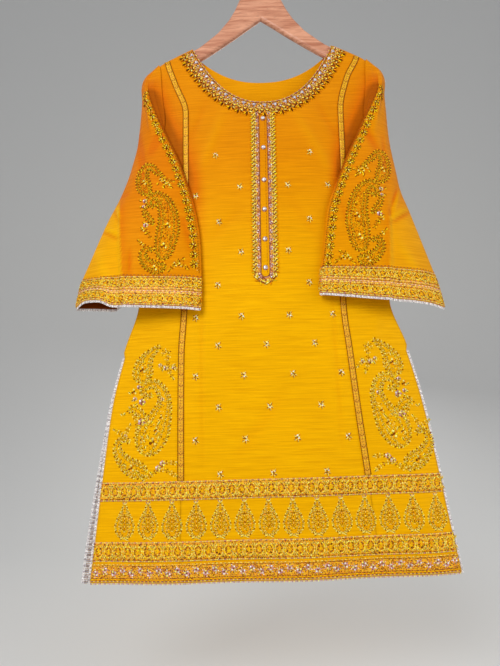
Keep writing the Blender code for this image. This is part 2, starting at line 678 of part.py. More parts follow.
def hanger_outline():
    """Half of the hanger's outline, from the middle of the top round the tip to the middle of the bottom."""
    top = [(x, z) for x, z, _ in HANGER]
    for x in (0.118, 0.130, 0.145, 0.160, 0.175, 0.190, 0.203):
        top.append((x, SHOULDER_Z - shoulder_down(x) - HANGER_SEAT))
    step = 0.001
    slope = (shoulder_down(HANGER_TIP_X + step) - shoulder_down(HANGER_TIP_X - step)) / (2 * step)
    lean = math.atan(slope)
    reach = HANGER_SEAT + HANGER_TIP_RADIUS
    centre_x = HANGER_TIP_X - reach * math.sin(lean)
    centre_z = SHOULDER_Z - shoulder_down(HANGER_TIP_X) - reach * math.cos(lean)
    tip = []
    for degrees in (50, 20, -10, -40, -70, -95):
        a = math.radians(degrees)
        tip.append((centre_x + HANGER_TIP_RADIUS * math.cos(a), centre_z + HANGER_TIP_RADIUS * math.sin(a)))
    bottom = [(x, z) for x, z in reversed(HANGER_LOWER)] + [(x, z) for x, _, z in reversed(HANGER)]
    return top + tip + bottom


def build_hanger(wood):
    """A flat wooden board with rounded edges."""
    half = hanger_outline()
    outline = half + [(-x, z) for x, z in reversed(half[1:-1])]
    bm = bmesh.new()
    verts = [bm.verts.new((x, -HANGER_THICK / 2, z)) for x, z in outline]
    face = bm.faces.new(verts)
    grown = bmesh.ops.extrude_face_region(bm, geom=[face])
    moved = [v for v in grown["geom"] if isinstance(v, bmesh.types.BMVert)]
    bmesh.ops.translate(bm, verts=moved, vec=(0, HANGER_THICK, 0))
    rims = [e for e in bm.edges if abs(e.verts[0].co.y - e.verts[1].co.y) < 1e-6]
    bmesh.ops.bevel(
        bm, geom=rims, offset=HANGER_ROUND, offset_type="OFFSET", segments=3, profile=0.5,
        affect="EDGES", material=-1, clamp_overlap=True,
    )
    bmesh.ops.recalc_face_normals(bm, faces=bm.faces)
    add_object("hanger", bm, wood)


def build_hook(metal):
    """Wire hook: a short stem out of the wood, then round over the top. Its inside top is the origin."""
    centre = Vector((0, 0, WIRE - HOOK_RADIUS))
    top_of_wood = HANGER[0][1]
    points = [Vector((0, 0, top_of_wood + SEAM_GAP)), Vector((0, 0, top_of_wood + 0.008))]
    turns = 22
    for k in range(turns + 1):
        a = mix(HOOK_START, HOOK_END, k / turns)
        points.append(centre + Vector((math.cos(a), 0, math.sin(a))) * HOOK_RADIUS)
    points = spline(points[:3], (1, 3)) + points[3:]
    add_object("hanger_hook", tube(points, WIRE, 10), metal)


def tube(points, radius, sides):
    """A closed round wire along points that lie in the plane of the hanger."""
    bm = bmesh.new()
    rings = []
    for k, point in enumerate(points):
        along = (points[min(k + 1, len(points) - 1)] - points[max(k - 1, 0)]).normalized()
        across = along.cross(Vector((0, 1, 0)))
        ring = []
        for n in range(sides):
            a = 2 * math.pi * n / sides
            ring.append(bm.verts.new(point + (across * math.cos(a) + Vector((0, 1, 0)) * math.sin(a)) * radius))
        rings.append(ring)
    for a, b in zip(rings, rings[1:]):
        for n in range(sides):
            m = (n + 1) % sides
            bm.faces.new((a[n], a[m], b[m], b[n]))
    bm.faces.new(rings[0])
    bm.faces.new(rings[-1])
    bmesh.ops.recalc_face_normals(bm, faces=bm.faces)
    return bm


def main():
    for old in list(bpy.data.objects):
        bpy.data.objects.remove(old)
    silk = material("mustard_silk", (0.82, 0.36, 0.006), 0.55)
    border = material("gold_embroidery", (0.66, 0.36, 0.03), 0.45)
    lace = material("edging_lace", (0.55, 0.50, 0.46), 0.70)
    stone = material("placket_stone", (0.80, 0.78, 0.74), 0.15)
    wood = material("hanger_wood", (0.62, 0.33, 0.18), 0.45)
    metal = material("hook_steel", (0.60, 0.60, 0.60), 0.25, 1.0)
    build_front(silk, border, lace)
    build_back(silk, lace)
    build_sleeve("left", SLEEVE_LEFT, -1, silk, border, lace)
    build_sleeve("right", SLEEVE_RIGHT, 1, silk, border, lace)
    build_neck_border(border)
    build_placket(border, stone)
    build_hanger(wood)
    build_hook(metal)


main()
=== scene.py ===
# %% [markdown]
# # A kameez on a wooden hanger
# The kameez is the long tunic of a salwar kameez suit. This one is mustard raw silk with gold, cream and
# mauve thread work, and it hangs flat on a wooden hanger. The CAD model already has the true cut and
# sizes, in metres. The lesson lays finer cloth, thread and stones on the same measures.

# %% Load the frame
import math

import bmesh
import bpy
import numpy as np
from mathutils import Matrix, Vector
from mathutils.bvhtree import BVHTree


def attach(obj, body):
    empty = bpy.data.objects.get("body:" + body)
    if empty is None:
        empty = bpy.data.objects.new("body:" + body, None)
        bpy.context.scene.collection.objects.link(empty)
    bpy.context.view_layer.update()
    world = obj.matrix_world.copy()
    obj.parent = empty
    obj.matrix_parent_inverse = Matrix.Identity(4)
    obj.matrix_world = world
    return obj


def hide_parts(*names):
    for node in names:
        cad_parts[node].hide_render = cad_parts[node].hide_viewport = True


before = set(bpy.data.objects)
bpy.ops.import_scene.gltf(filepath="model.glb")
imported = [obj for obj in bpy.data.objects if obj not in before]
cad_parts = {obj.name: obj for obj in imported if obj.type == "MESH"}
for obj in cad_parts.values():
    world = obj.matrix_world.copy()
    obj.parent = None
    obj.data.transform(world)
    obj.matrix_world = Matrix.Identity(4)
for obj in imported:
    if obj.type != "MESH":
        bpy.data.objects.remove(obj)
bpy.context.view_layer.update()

# %% [markdown]
# ## Measures
# Every height on the garment is a "down", the distance below the shoulder seam's end at the neck, in
# metres. These are the measures that the panels were cut to. They are repeated here so that the fine
# cloth lies where the plain one does.

# %% Driving sizes
CLOTH = 0.0015            # wall of the panels
BORDER = 0.0010           # wall of the borders sewn on them
SEAM_GAP = 0.0003
SHOULDER_Z = -0.213
HEM = 0.920
NECK_HALF = 0.130
FRONT_NECK_DROP = 0.124
BACK_NECK_DROP = 0.063
NECK_ROUNDNESS = 2.3
SLEEVE_HEAD_X = 0.190
LEVEL = 0.300             # the panels' rows are level below this
SLIT_TOP = 0.575
SLIT_STEP = 0.004
LACE = 0.0040
ARC = 0.0090              # drop over which a panel turns over the shoulder
TOP_OFFSETS = (0.0, 0.0006, 0.0015, 0.0030, 0.0050, 0.0070, ARC)
ROWS_TO_LEVEL, ROWS_TO_HEM = 53, 125
NORMAL_STEP = 0.0015
SIDE_Y = CLOTH / 2 + SEAM_GAP / 2
SHOULDER_Y = 0.0004
LAP = CLOTH + SEAM_GAP
HEM_WAVE = 0.0028
HEM_WAVE_LENGTH = 0.205
HEM_WAVE_TOP = 0.600
FOLDS_FROM, FOLDS_FULL = 0.03, 0.09   # below the shoulder line
SLIT_SPREAD = 0.0030
BACK_SHIFT = -0.012

# %% Tables of the cut
SHOULDER = [
    (0.000, -0.125), (0.105, -0.016), (0.130, 0.000), (0.158, 0.0145), (0.182, 0.028), (0.200, 0.042),
    (0.222, 0.0605),
]
UNDER = [(0.180, 0.0026), (0.270, 0.0050), (0.440, 0.0052), (0.480, 0.0070)]

# down, left edge, right edge
OUTLINE = [
    (0.034, -0.1900, 0.1900), (0.100, -0.1850, 0.1850), (0.145, -0.1810, 0.1790), (0.170, -0.1820, 0.1790),
    (0.200, -0.1870, 0.1830), (0.230, -0.1970, 0.1910), (0.262, -0.2220, 0.2080), (0.340, -0.2190, 0.2040),
    (0.420, -0.2160, 0.1980), (0.495, -0.2230, 0.1970), (0.568, -0.2460, 0.2190), (0.658, -0.2670, 0.2390),
    (0.745, -0.2770, 0.2515), (0.822, -0.2845, 0.2605), (0.924, -0.2940, 0.2735),
]

# down, left side, right side, swell of the front, squareness of the section
SECTIONS = [
    (0.000, -0.300, 0.300, 0.0095, 4.0), (0.060, -0.300, 0.300, 0.0100, 4.0),
    (0.150, -0.262, 0.256, 0.0190, 3.2), (0.262, -0.222, 0.208, 0.0260, 2.4),
    (0.420, -0.216, 0.198, 0.0240, 2.4), (0.568, -0.246, 0.219, 0.0200, 2.4),
    (0.745, -0.277, 0.2515, 0.0170, 2.4), (0.924, -0.294, 0.2735, 0.0150, 2.4),
]

# down, left princess seam, right princess seam
PRINCESS = [
    (0.000, -0.1790, 0.1780), (0.028, -0.1760, 0.1740), (0.075, -0.1620, 0.1520), (0.143, -0.1410, 0.1350),
    (0.250, -0.1410, 0.1320), (0.380, -0.1420, 0.1240), (0.505, -0.1450, 0.1165), (0.580, -0.1500, 0.1220),
    (0.690, -0.1510, 0.1300), (0.772, -0.1510, 0.1370), (0.924, -0.1530, 0.1480),
]

# from x, from down, to x, to down, half width, rise towards the viewer
FRONT_FOLDS = [
    (-0.166, 0.110, -0.160, 0.420, 0.014, -0.0045), (0.158, 0.110, 0.150, 0.420, 0.014, -0.0045),
    (-0.090, 0.180, -0.040, 0.420, 0.040, -0.0022), (0.070, 0.200, 0.100, 0.480, 0.036, 0.0020),
    (-0.116, 0.430, -0.118, 0.760, 0.013, 0.0016), (0.099, 0.430, 0.100, 0.760, 0.013, 0.0016),
    (-0.010, 0.560, -0.030, 0.900, 0.050, -0.0024), (0.200, 0.600, 0.225, 0.920, 0.030, 0.0022),
    (-0.215, 0.600, -0.235, 0.920, 0.030, 0.0022),
]
BACK_FOLDS = [
    (-0.080, 0.120, -0.120, 0.600, 0.040, 0.0040), (0.060, 0.150, 0.090, 0.700, 0.045, 0.0035),
    (0.000, 0.350, 0.010, 0.900, 0.040, -0.0030), (-0.190, 0.520, -0.230, 0.920, 0.030, 0.0026),
    (0.170, 0.540, 0.200, 0.920, 0.030, 0.0026),
]

# %% Tables of the sleeves
# down and x of the seam, of the inner fold and of the outer edge, swell, radius of the fold
SLEEVE_LEFT = [
    (0.046, -0.1880, 0.040, -0.1890, 0.034, -0.1905, 0.000, 0.0000),
    (0.053, -0.1875, 0.046, -0.1900, 0.0366, -0.1930, 0.000, 0.0000),
    (0.062, -0.1870, 0.052, -0.1960, 0.0442, -0.2040, 0.000, 0.0000),
    (0.082, -0.1855, 0.070, -0.2040, 0.0575, -0.2185, 0.001, 0.0000),
    (0.100, -0.1840, 0.086, -0.2090, 0.074, -0.2238, 0.003, 0.0012),
    (0.120, -0.1820, 0.112, -0.2030, 0.106, -0.2225, 0.006, 0.0022),
    (0.145, -0.1790, 0.142, -0.1930, 0.140, -0.2240, 0.009, 0.0028),
    (0.172, -0.1800, 0.170, -0.1815, 0.170, -0.2265, 0.012, 0.0032),
    (0.202, -0.1850, 0.200, -0.1690, 0.200, -0.2300, 0.014, 0.0035),
    (0.232, -0.1955, 0.230, -0.1560, 0.230, -0.2360, 0.016, 0.0035),
    (0.262, -0.2275, 0.262, -0.1450, 0.262, -0.2430, 0.017, 0.0035),
    (0.300, -0.2290, 0.300, -0.1330, 0.300, -0.2560, 0.018, 0.0035),
    (0.340, -0.2280, 0.340, -0.1240, 0.340, -0.2750, 0.019, 0.0035),
    (0.380, -0.2260, 0.380, -0.1180, 0.380, -0.2910, 0.020, 0.0035),
    (0.420, -0.2250, 0.420, -0.1160, 0.420, -0.3040, 0.021, 0.0038),
    (0.455, -0.2245, 0.458, -0.1155, 0.450, -0.3130, 0.022, 0.0040),
    (0.500, -0.2240, 0.506, -0.1165, 0.494, -0.3190, 0.024, 0.0042),
]
SLEEVE_RIGHT = [
    (0.046, 0.1880, 0.040, 0.1890, 0.034, 0.1905, 0.000, 0.0000),
    (0.053, 0.1875, 0.046, 0.1900, 0.0366, 0.1930, 0.000, 0.0000),
    (0.062, 0.1870, 0.052, 0.1960, 0.0442, 0.2040, 0.000, 0.0000),
    (0.082, 0.1855, 0.070, 0.2040, 0.0575, 0.2185, 0.001, 0.0000),
    (0.100, 0.1835, 0.086, 0.2070, 0.074, 0.2238, 0.003, 0.0012),
    (0.120, 0.1810, 0.112, 0.2000, 0.106, 0.2205, 0.006, 0.0022),
    (0.145, 0.1770, 0.142, 0.1860, 0.140, 0.2205, 0.009, 0.0028),
    (0.172, 0.1770, 0.170, 0.1720, 0.170, 0.2205, 0.012, 0.0032),
    (0.202, 0.1810, 0.200, 0.1580, 0.200, 0.2215, 0.014, 0.0035),
    (0.232, 0.1895, 0.230, 0.1430, 0.230, 0.2235, 0.015, 0.0035),
    (0.262, 0.2135, 0.262, 0.1290, 0.262, 0.2260, 0.016, 0.0035),
    (0.300, 0.2140, 0.300, 0.1130, 0.300, 0.2300, 0.017, 0.0035),
    (0.340, 0.2130, 0.340, 0.0990, 0.340, 0.2420, 0.018, 0.0035),
    (0.380, 0.2110, 0.380, 0.0920, 0.380, 0.2530, 0.019, 0.0035),
    (0.420, 0.2090, 0.420, 0.0860, 0.420, 0.2620, 0.020, 0.0038),
    (0.460, 0.2075, 0.452, 0.0800, 0.465, 0.2710, 0.021, 0.0040),
    (0.500, 0.2060, 0.487, 0.0770, 0.511, 0.2780, 0.022, 0.0042),
]
UNDERARM_GAP = 0.0009
UNDERARM_ROW = 10
SLEEVE_TRIM = 0.018
SLEEVE_SPANS = (1, 2, 2, 2, 2, 2, 2, 2, 2, 2, 1)
SLEEVE_STEPS = (1, 1, 1, 1, 1, 1, 2, 2, 2, 2, 1, 2, 2, 1, 2, 4)
FINER_ACROSS = 9          # fine columns for one of the CAD grid's
FINER_DOWN = 5
FOLD_COLUMN, EDGE_COLUMN = 7, 15   # the CAD grid's columns at the inner fold and at the outer edge
ARCH_ANGLES = (0, 12, 22, 32, 42, 52, 62, 75, 90, 116, 146, 180)
SIDES = ((-1, "left"), (1, "right"))
SLEEVE_ROWS = {-1: SLEEVE_LEFT, 1: SLEEVE_RIGHT}

# %% [markdown]
# ## The cloth's shape
# Hung cloth is a surface whose depth depends on where you are on it. One function gives that depth for any
# x and down, so each panel, border and stitch that uses it lies in the same place. NumPy works out
# thousands of points at once.

# %% Smooth tables
def value(table, column, at):
    """Smooth value of a table's column, without overshoot. The first column rises."""
    data = np.array(table, float)
    x, y = data[:, 0], data[:, column]
    secant = np.diff(y) / np.diff(x)
    below, above = secant[:-1], secant[1:]
    same = below * above > 0
    inner = np.where(same, 2 * below * above / np.where(same, below + above, 1), 0)
    slope = np.concatenate(([secant[0]], inner, [secant[-1]]))
    at = np.clip(at, x[0], x[-1])
    i = np.clip(np.searchsorted(x, at, side="right") - 1, 0, len(x) - 2)
    h = x[i + 1] - x[i]
    t = (at - x[i]) / h
    start = (2 * t**3 - 3 * t**2 + 1) * y[i] + (t**3 - 2 * t**2 + t) * h * slope[i]
    end = (-2 * t**3 + 3 * t**2) * y[i + 1] + (t**3 - t**2) * h * slope[i + 1]
    return start + end


def ramp(at, start, end):
    """0 before start, 1 after end, smooth between."""
    t = np.clip((np.asarray(at, float) - start) / (end - start), 0, 1)
    return t * t * (3 - 2 * t)


def mix(a, b, t):
    return a + (b - a) * t


def shoulder_down(x):
    return value(SHOULDER, 1, np.abs(x))


# %% Depth of the body's panels
def fold_rise(folds, x, down):
    """Sum of the soft folds at points of a panel."""
    total = np.zeros(np.broadcast(x, down).shape)
    for x0, d0, x1, d1, width, rise in folds:
        dx, dd = x1 - x0, d1 - d0
        t = np.clip(((x - x0) * dx + (down - d0) * dd) / (dx * dx + dd * dd), 0, 1)
        off = np.hypot(x - x0 - dx * t, down - d0 - dd * t) / width
        total = total + rise * np.exp(-off * off) * np.sin(np.pi * np.clip(t, 0.08, 0.999)) ** 0.6
    return total


# Fine creases: from x, from down, to x, to down, half width, rise
FRONT_CREASES = [
    (-0.1165, 0.430, -0.1180, 0.765, 0.0030, -0.00160), (0.0985, 0.430, 0.1000, 0.765, 0.0030, -0.00160),
    (-0.1480, 0.165, -0.1430, 0.330, 0.0050, -0.00120), (0.1400, 0.165, 0.1290, 0.330, 0.0050, -0.00120),
    (-0.0700, 0.130, -0.1180, 0.260, 0.0080, 0.00150), (0.0500, 0.140, 0.1120, 0.270, 0.0090, 0.00150),
    (-0.1050, 0.120, -0.1330, 0.200, 0.0060, -0.00110), (0.0900, 0.120, 0.1260, 0.205, 0.0060, -0.00110),
    (-0.0280, 0.500, -0.0950, 0.560, 0.0080, 0.00110), (0.0300, 0.520, 0.0950, 0.620, 0.0100, 0.00110),
    (-0.0450, 0.330, -0.1050, 0.390, 0.0080, -0.00100), (0.0400, 0.320, 0.0900, 0.400, 0.0080, -0.00100),
    (-0.2000, 0.520, -0.1600, 0.640, 0.0090, 0.00120), (0.1800, 0.500, 0.1450, 0.640, 0.0090, 0.00120),
    (0.0150, 0.640, -0.0700, 0.750, 0.0110, -0.00120), (0.0200, 0.600, 0.0900, 0.740, 0.0120, 0.00100),
]
BACK_CREASES = [
    (-0.1165, 0.150, -0.1220, 0.900, 0.0032, 0.00090), (0.0985, 0.150, 0.0960, 0.900, 0.0032, 0.00090),
    (0.0400, 0.200, -0.0300, 0.420, 0.0120, 0.00070), (-0.1500, 0.300, -0.0800, 0.480, 0.0110, -0.00060),
]


def depth(x, down, folds, phase, creases=()):
    """Distance of a panel's middle surface from the plane of the hanger."""
    left, right = value(SECTIONS, 1, down), value(SECTIONS, 2, down)
    across = np.minimum(1.0, np.abs(x - (left + right) / 2) / ((right - left) / 2))
    lens = 1 - across ** value(SECTIONS, 4, down)
    top = shoulder_down(x)
    clear = ramp(down - top, FOLDS_FROM, FOLDS_FULL) * np.minimum(1.0, 3 * lens)
    wave = HEM_WAVE * np.sin(2 * np.pi * x / HEM_WAVE_LENGTH + phase) * ramp(down, HEM_WAVE_TOP, HEM)
    full = SIDE_Y + value(SECTIONS, 3, down) * lens
    full = full + clear * (fold_rise(folds, x, down) + wave)
    if creases:
        full = full + clear * fold_rise(creases, x, down)
    full = full + SLIT_SPREAD * ramp(down, SLIT_TOP, HEM)
    drop = np.clip((down - top) / ARC, 0, 1)
    return mix(SHOULDER_Y, full, np.sqrt(1 - (1 - drop) ** 2))


def front_point(x, down):
    x, down = np.broadcast_arrays(x, down)
    return np.stack([x, -depth(x, down, FRONT_FOLDS, 0.6, FRONT_CREASES), SHOULDER_Z - down], -1)


def back_point(x, down):
    x, down = np.broadcast_arrays(x, down)
    return np.stack([x, depth(x, down, BACK_FOLDS, 2.4, BACK_CREASES), SHOULDER_Z - down], -1)


def unit(vectors):
    return vectors / np.maximum(np.linalg.norm(vectors, axis=-1, keepdims=True), 1e-12)


def front_normal(x, down):
    step = NORMAL_STEP
    across = front_point(x + step, down) - front_point(x - step, down)
    along = front_point(x, down + step) - front_point(x, down - step)
    return unit(np.cross(across, -along))


def on_front(coords, lift):
    """Points that lie on the front, from x and down, and the way that they face."""
    x, down = coords[..., 0], coords[..., 1]
    normal = front_normal(x, down)
    return front_point(x, down) + normal * lift, normal


# %% Edges of the panels
def neck_down(x, drop):
    """The top edge of a panel: neck curve in the middle, shoulder line outside it."""
    inside = np.clip(np.abs(x) / NECK_HALF, 0, 1)
    return np.where(np.abs(x) >= NECK_HALF, shoulder_down(x), drop * (1 - inside**NECK_ROUNDNESS))


def edge_x(side, down, inset=0.0):
    column = 1 if side < 0 else 2
    inset = inset * ramp(down, SLIT_TOP - SLIT_STEP, SLIT_TOP + SLIT_STEP)
    return value(OUTLINE, column, down) - side * inset


def princess_x(side, down):
    return value(PRINCESS, 1 if side < 0 else 2, down)


def panel_grid(columns, left_x, right_x, drop):
    """Grids of x and down for a panel. columns are shares of its width. The top rows follow its top edge."""
    ends = []
    for edge in (left_x, right_x):
        x = edge(0.03)
        for _ in range(6):
            x = edge(neck_down(x, drop))
        ends.append(x)
    tops = neck_down(mix(ends[0], ends[1], columns), drop)
    xs, downs = [], []
    for offset in TOP_OFFSETS:
        x = mix(left_x(tops[0] + offset), right_x(tops[-1] + offset), columns)
        xs.append(x)
        downs.append(neck_down(x, drop) + offset)
    for share in np.linspace(0, 1, ROWS_TO_LEVEL)[1:]:
        down = mix(tops + ARC, LEVEL, share)
        xs.append(mix(left_x(down[0]), right_x(down[-1]), columns))
        downs.append(down)
    for down in np.linspace(LEVEL, HEM, ROWS_TO_HEM)[1:]:
        xs.append(mix(left_x(down), right_x(down), columns))
        downs.append(np.full_like(columns, down))
    return np.array(xs), np.array(downs)


# %% [markdown]
# ## Sewn pieces
# Each piece of cloth is one grid, made with Blender's own grid operator and laid through the points. A
# Solidify modifier gives it its wall. The UV map is in metres, so that threads and slubs keep their real
# size wherever the cloth turns.

# %% Make a piece of cloth
def add_piece(name, mesh, finish, stands_for):
    """Links a mesh, and says what it rides on, which slot it fills and which nodes it stands for."""
    mesh.materials.append(finish)
    piece = bpy.data.objects.new(name, mesh)
    bpy.context.scene.collection.objects.link(piece)
    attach(piece, "root")
    if stands_for:
        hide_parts(*stands_for)
    return piece


def cloth(name, points, flat, thickness, outward, finish, stands_for=(), painted_shade=None):
    """A wall through a grid of points. Returns the piece and its normals on the outside."""
    rows, columns = points.shape[:2]
    bm = bmesh.new()
    bmesh.ops.create_grid(bm, x_segments=columns - 1, y_segments=rows - 1, size=1.0)
    bm.verts.ensure_lookup_table()
    for vert, place in zip(bm.verts, points.reshape(-1, 3)):
        vert.co = place
    metres = flat.reshape(-1, 2)
    uv = bm.loops.layers.uv.new("UVMap")
    for face in bm.faces:
        for corner in face.loops:
            corner[uv].uv = metres[corner.vert.index]
    bm.normal_update()
    middle = bm.verts[(rows // 2) * columns + columns // 2]
    if middle.normal.dot(Vector(outward)) < 0:
        bmesh.ops.reverse_faces(bm, faces=bm.faces)
        bm.normal_update()
    bm.verts.ensure_lookup_table()
    normals = np.array([vert.normal for vert in bm.verts]).reshape(points.shape)
    mesh = bpy.data.meshes.new(name)
    bm.to_mesh(mesh)
    bm.free()
    mesh.shade_smooth()
    # Painted shade for each point, kept as a vertex attribute that the silk's colour reads.
    if painted_shade is not None:
        mesh.attributes.new("painted_shade", "FLOAT", "POINT").data.foreach_set("value", painted_shade.ravel())
    piece = add_piece(name, mesh, finish, stands_for)
    wall = piece.modifiers.new("wall", "SOLIDIFY")
    wall.thickness = thickness
    wall.offset = 0
    return piece, normals


# %% [markdown]
# ## Materials
# Raw silk is woven from uneven thread, so thin level streaks, the slubs, run across it. The same streaks
# tint the colour, change the gloss and lift the surface a little. A picture could give them, but noise that
# is stretched along one side stays sharp at any distance. It is a node group, so that any other cloth can
# use it. The small functions below add one kind of node each, and a material is then a short list.

# %% Colours
def colour(red, green, blue):
    """Linear colour from the 0 to 255 values that a picture shows."""
    shares = (red / 255, green / 255, blue / 255)
    return tuple(((c + 0.055) / 1.055) ** 2.4 if c > 0.04 else c / 12.92 for c in shares)


YELLOW = colour(255, 194, 8)
LEMON = colour(255, 216, 30)
GOLD = colour(250, 158, 6)
CREAM = colour(255, 234, 120)
OLIVE = colour(140, 68, 2)
BRONZE = colour(134, 50, 2)
SHADOW = colour(92, 30, 2)
MAUVE = colour(205, 148, 150)
PLUM = colour(140, 74, 66)
WHITE = colour(245, 240, 235)
SILVER = colour(190, 180, 190)


# %% Nodes
def feed(tree, inputs, links):
    """Links or sets inputs. links holds pairs of an input and an output socket or a value."""
    for key, source in links:
        if isinstance(source, bpy.types.NodeSocket):
            tree.links.new(source, inputs[key])
        else:
            inputs[key].default_value = source


def node(tree, kind, links=(), **settings):
    made = tree.nodes.new(kind)
    for key, setting in settings.items():
        setattr(made, key, setting)
    feed(tree, made.inputs, links)
    return made


def noise(tree, vector, detail, scale=1.0, stretch=None, **settings):
    """A noise's value at a vector, which may be stretched first."""
    if stretch:
        vector = node(tree, "ShaderNodeMapping", [("Vector", vector), ("Scale", stretch)]).outputs[0]
    links = [("Vector", vector), ("Scale", scale), ("Detail", detail)]
    return node(tree, "ShaderNodeTexNoise", links, **settings).outputs["Fac"]


def between(tree, source, low, high, start=0.0, end=1.0):
    """Goes from low to high while the source goes from start to end."""
    links = [("Value", source), ("From Min", start), ("From Max", end), ("To Min", low), ("To Max", high)]
    return node(tree, "ShaderNodeMapRange", links).outputs["Result"]


def brightened(tree, shade, amount):
    links = [("Color", shade), ("Value", amount)]
    return node(tree, "ShaderNodeHueSaturation", links).outputs["Color"]


def raised(tree, height, distance, strength, **settings):
    """The normal of a surface that a height lifts."""
    links = [("Height", height), ("Distance", distance), ("Strength", strength)]
    return node(tree, "ShaderNodeBump", links, **settings).outputs["Normal"]


def colour_at(tree, source, stops, interpolation="LINEAR"):
    """The colour for a value. stops are pairs of a value and a colour."""
    made = node(tree, "ShaderNodeValToRGB", [("Fac", source)])
    made.color_ramp.interpolation = interpolation
    elements = made.color_ramp.elements
    for element, (position, shade) in zip(elements, stops[:2]):
        element.position = position
        element.color = (*shade, 1)
    for position, shade in stops[2:]:
        elements.new(position).color = (*shade, 1)
    return made.outputs["Color"]


def mix_colours(tree, factor, first, second, blend="MIX"):
    """A mix node's colour. factor, first and second are values or sockets."""
    made = node(tree, "ShaderNodeMix", data_type="RGBA", blend_type=blend)
    sockets = {socket.identifier: socket for socket in made.inputs}
    feed(tree, sockets, [("Factor_Float", factor), ("A_Color", first), ("B_Color", second)])
    return next(socket for socket in made.outputs if socket.identifier == "Result_Color")


def new_material(name):
    made = bpy.data.materials.new(name)
    made.use_nodes = True
    return made, made.node_tree, made.node_tree.nodes["Principled BSDF"]


# %% Slub group
def slub_group():
    group = bpy.data.node_groups.new("Slub", "ShaderNodeTree")
    for label, kind, side in (
        ("Vector", "NodeSocketVector", "INPUT"), ("Coarse", "NodeSocketFloat", "INPUT"),
        ("Streak", "NodeSocketFloat", "OUTPUT"), ("Height", "NodeSocketFloat", "OUTPUT"),
    ):
        group.interface.new_socket(label, in_out=side, socket_type=kind)
    start = node(group, "NodeGroupInput")
    place = start.outputs["Vector"]
    fine = noise(group, place, 2.0, stretch=(22, 900, 1), noise_dimensions="2D")
    wide = noise(group, place, 2.0, stretch=(12, 420, 1), noise_dimensions="2D")
    blend = node(group, "ShaderNodeMix", [("Factor", start.outputs["Coarse"]), ("A", fine), ("B", wide)])
    streak = between(group, blend.outputs["Result"], 0.0, 1.0, 0.34, 0.66)
    weave = noise(group, place, 1.0, stretch=(900, 900, 1), noise_dimensions="2D")
    height = node(group, "ShaderNodeMath", [(0, weave), (1, 0.35), (2, streak)], operation="MULTIPLY_ADD")
    node(group, "NodeGroupOutput", [("Streak", streak), ("Height", height.outputs[0])])
    return group


SLUB = slub_group()


# %% Silk
# Painted shade: the attribute's value in a deep fold. Between it and 1 the colour goes to a painted shadow,
# for the dark inside of a cuff.
PAINTED_FOLD_SHADE = 0.8           # attribute's value in a deep fold. Above it the cloth is in the dark of the sleeve
PAINTED_SHADE_STOPS = [(0.0, (1, 1, 1)), (PAINTED_FOLD_SHADE, (0.77, 0.345, 0.50)), (1.0, (0.16, 0.05, 0.04))]


def silk_material(name, low, high, coarse, lift):
    """low and high are the colours of the ground and of the slubs. A vertex attribute of painted shade
    darkens and reddens them, and near 1 it gives a painted shadow.
    """
    made, tree, shader = new_material(name)
    at = node(tree, "ShaderNodeTexCoord")
    slub = node(tree, "ShaderNodeGroup", node_tree=SLUB)
    feed(tree, slub.inputs, [("Vector", at.outputs["UV"]), ("Coarse", coarse)])
    streak = slub.outputs["Streak"]
    tint = mix_colours(tree, streak, (*low, 1), (*high, 1))
    # The attribute read here is painted shade, worked out from folds and pockets; the ramp darkens and
    # reddens the yellow with it.
    folds = node(tree, "ShaderNodeAttribute", attribute_name="painted_shade")
    slub_colour_and_painted_shade = mix_colours(tree, 1.0, tint, colour_at(tree, folds.outputs["Fac"], PAINTED_SHADE_STOPS), "MULTIPLY")
    worn = between(tree, noise(tree, at.outputs["Object"], 2.0, 6.0), 0.93, 1.05)
    feed(tree, shader.inputs, [
        ("Base Color", brightened(tree, slub_colour_and_painted_shade, worn)),
        ("Roughness", between(tree, streak, 0.58, 0.42)),
        ("Normal", raised(tree, slub.outputs["Height"], lift, 0.6)),
        ("Specular IOR Level", 0.28),
        ("Specular Tint", (1.0, 0.55, 0.03, 1)),
        ("Sheen Weight", 0.03),
        ("Sheen Roughness", 0.4),
        ("Sheen Tint", (1.0, 0.50, 0.02, 1)),
    ])
    return made


SILK = silk_material("mustard_silk", (0.790, 0.362, 0.0008), (0.970, 0.490, 0.0014), 0.45, 0.00008)
print("materials:", SILK.name)

# %% [markdown]
# ## The front
# The front is cut as a centre panel and two side panels, so that the princess seams can shape it. Each
# could be modelled alone, but they share one surface here, which keeps the seams closed. Shade is painted
# into the colour: darker in the pockets beside the sleeves and above the waist, and on the creases, worked
# out from the same creases as their shape, lighter on ridges and darker in hollows.

# %% Painted shade of the yellow
# Painted shade: the pockets beside the sleeves are darker, small creases are lighter on ridges and darker in
# hollows, and the upper front and back are darker, fading out by the waist.
POCKET_PAINTED_SHADE = 0.46        # added between the sleeve's fold and the princess seam
POCKET_WIDTH = 0.034
CREASE_PAINTED_SHADE = 90.0     # share of the tone for each metre that a small crease rises
POCKET_SIDE = (0.098, 0.124)           # x between which the shade of the pocket starts
POCKET_TOP, POCKET_FOOT = (0.040, 0.110), (0.26, 0.42)
FRONT_PAINTED_SHADE, BACK_PAINTED_SHADE = 0.64, 0.34     # above the waist
WAIST = (0.20, 0.52)                   # heights between which that tone fades
MOST_PAINTED_SHADE = 0.90          # as deep as the outside of the cloth gets


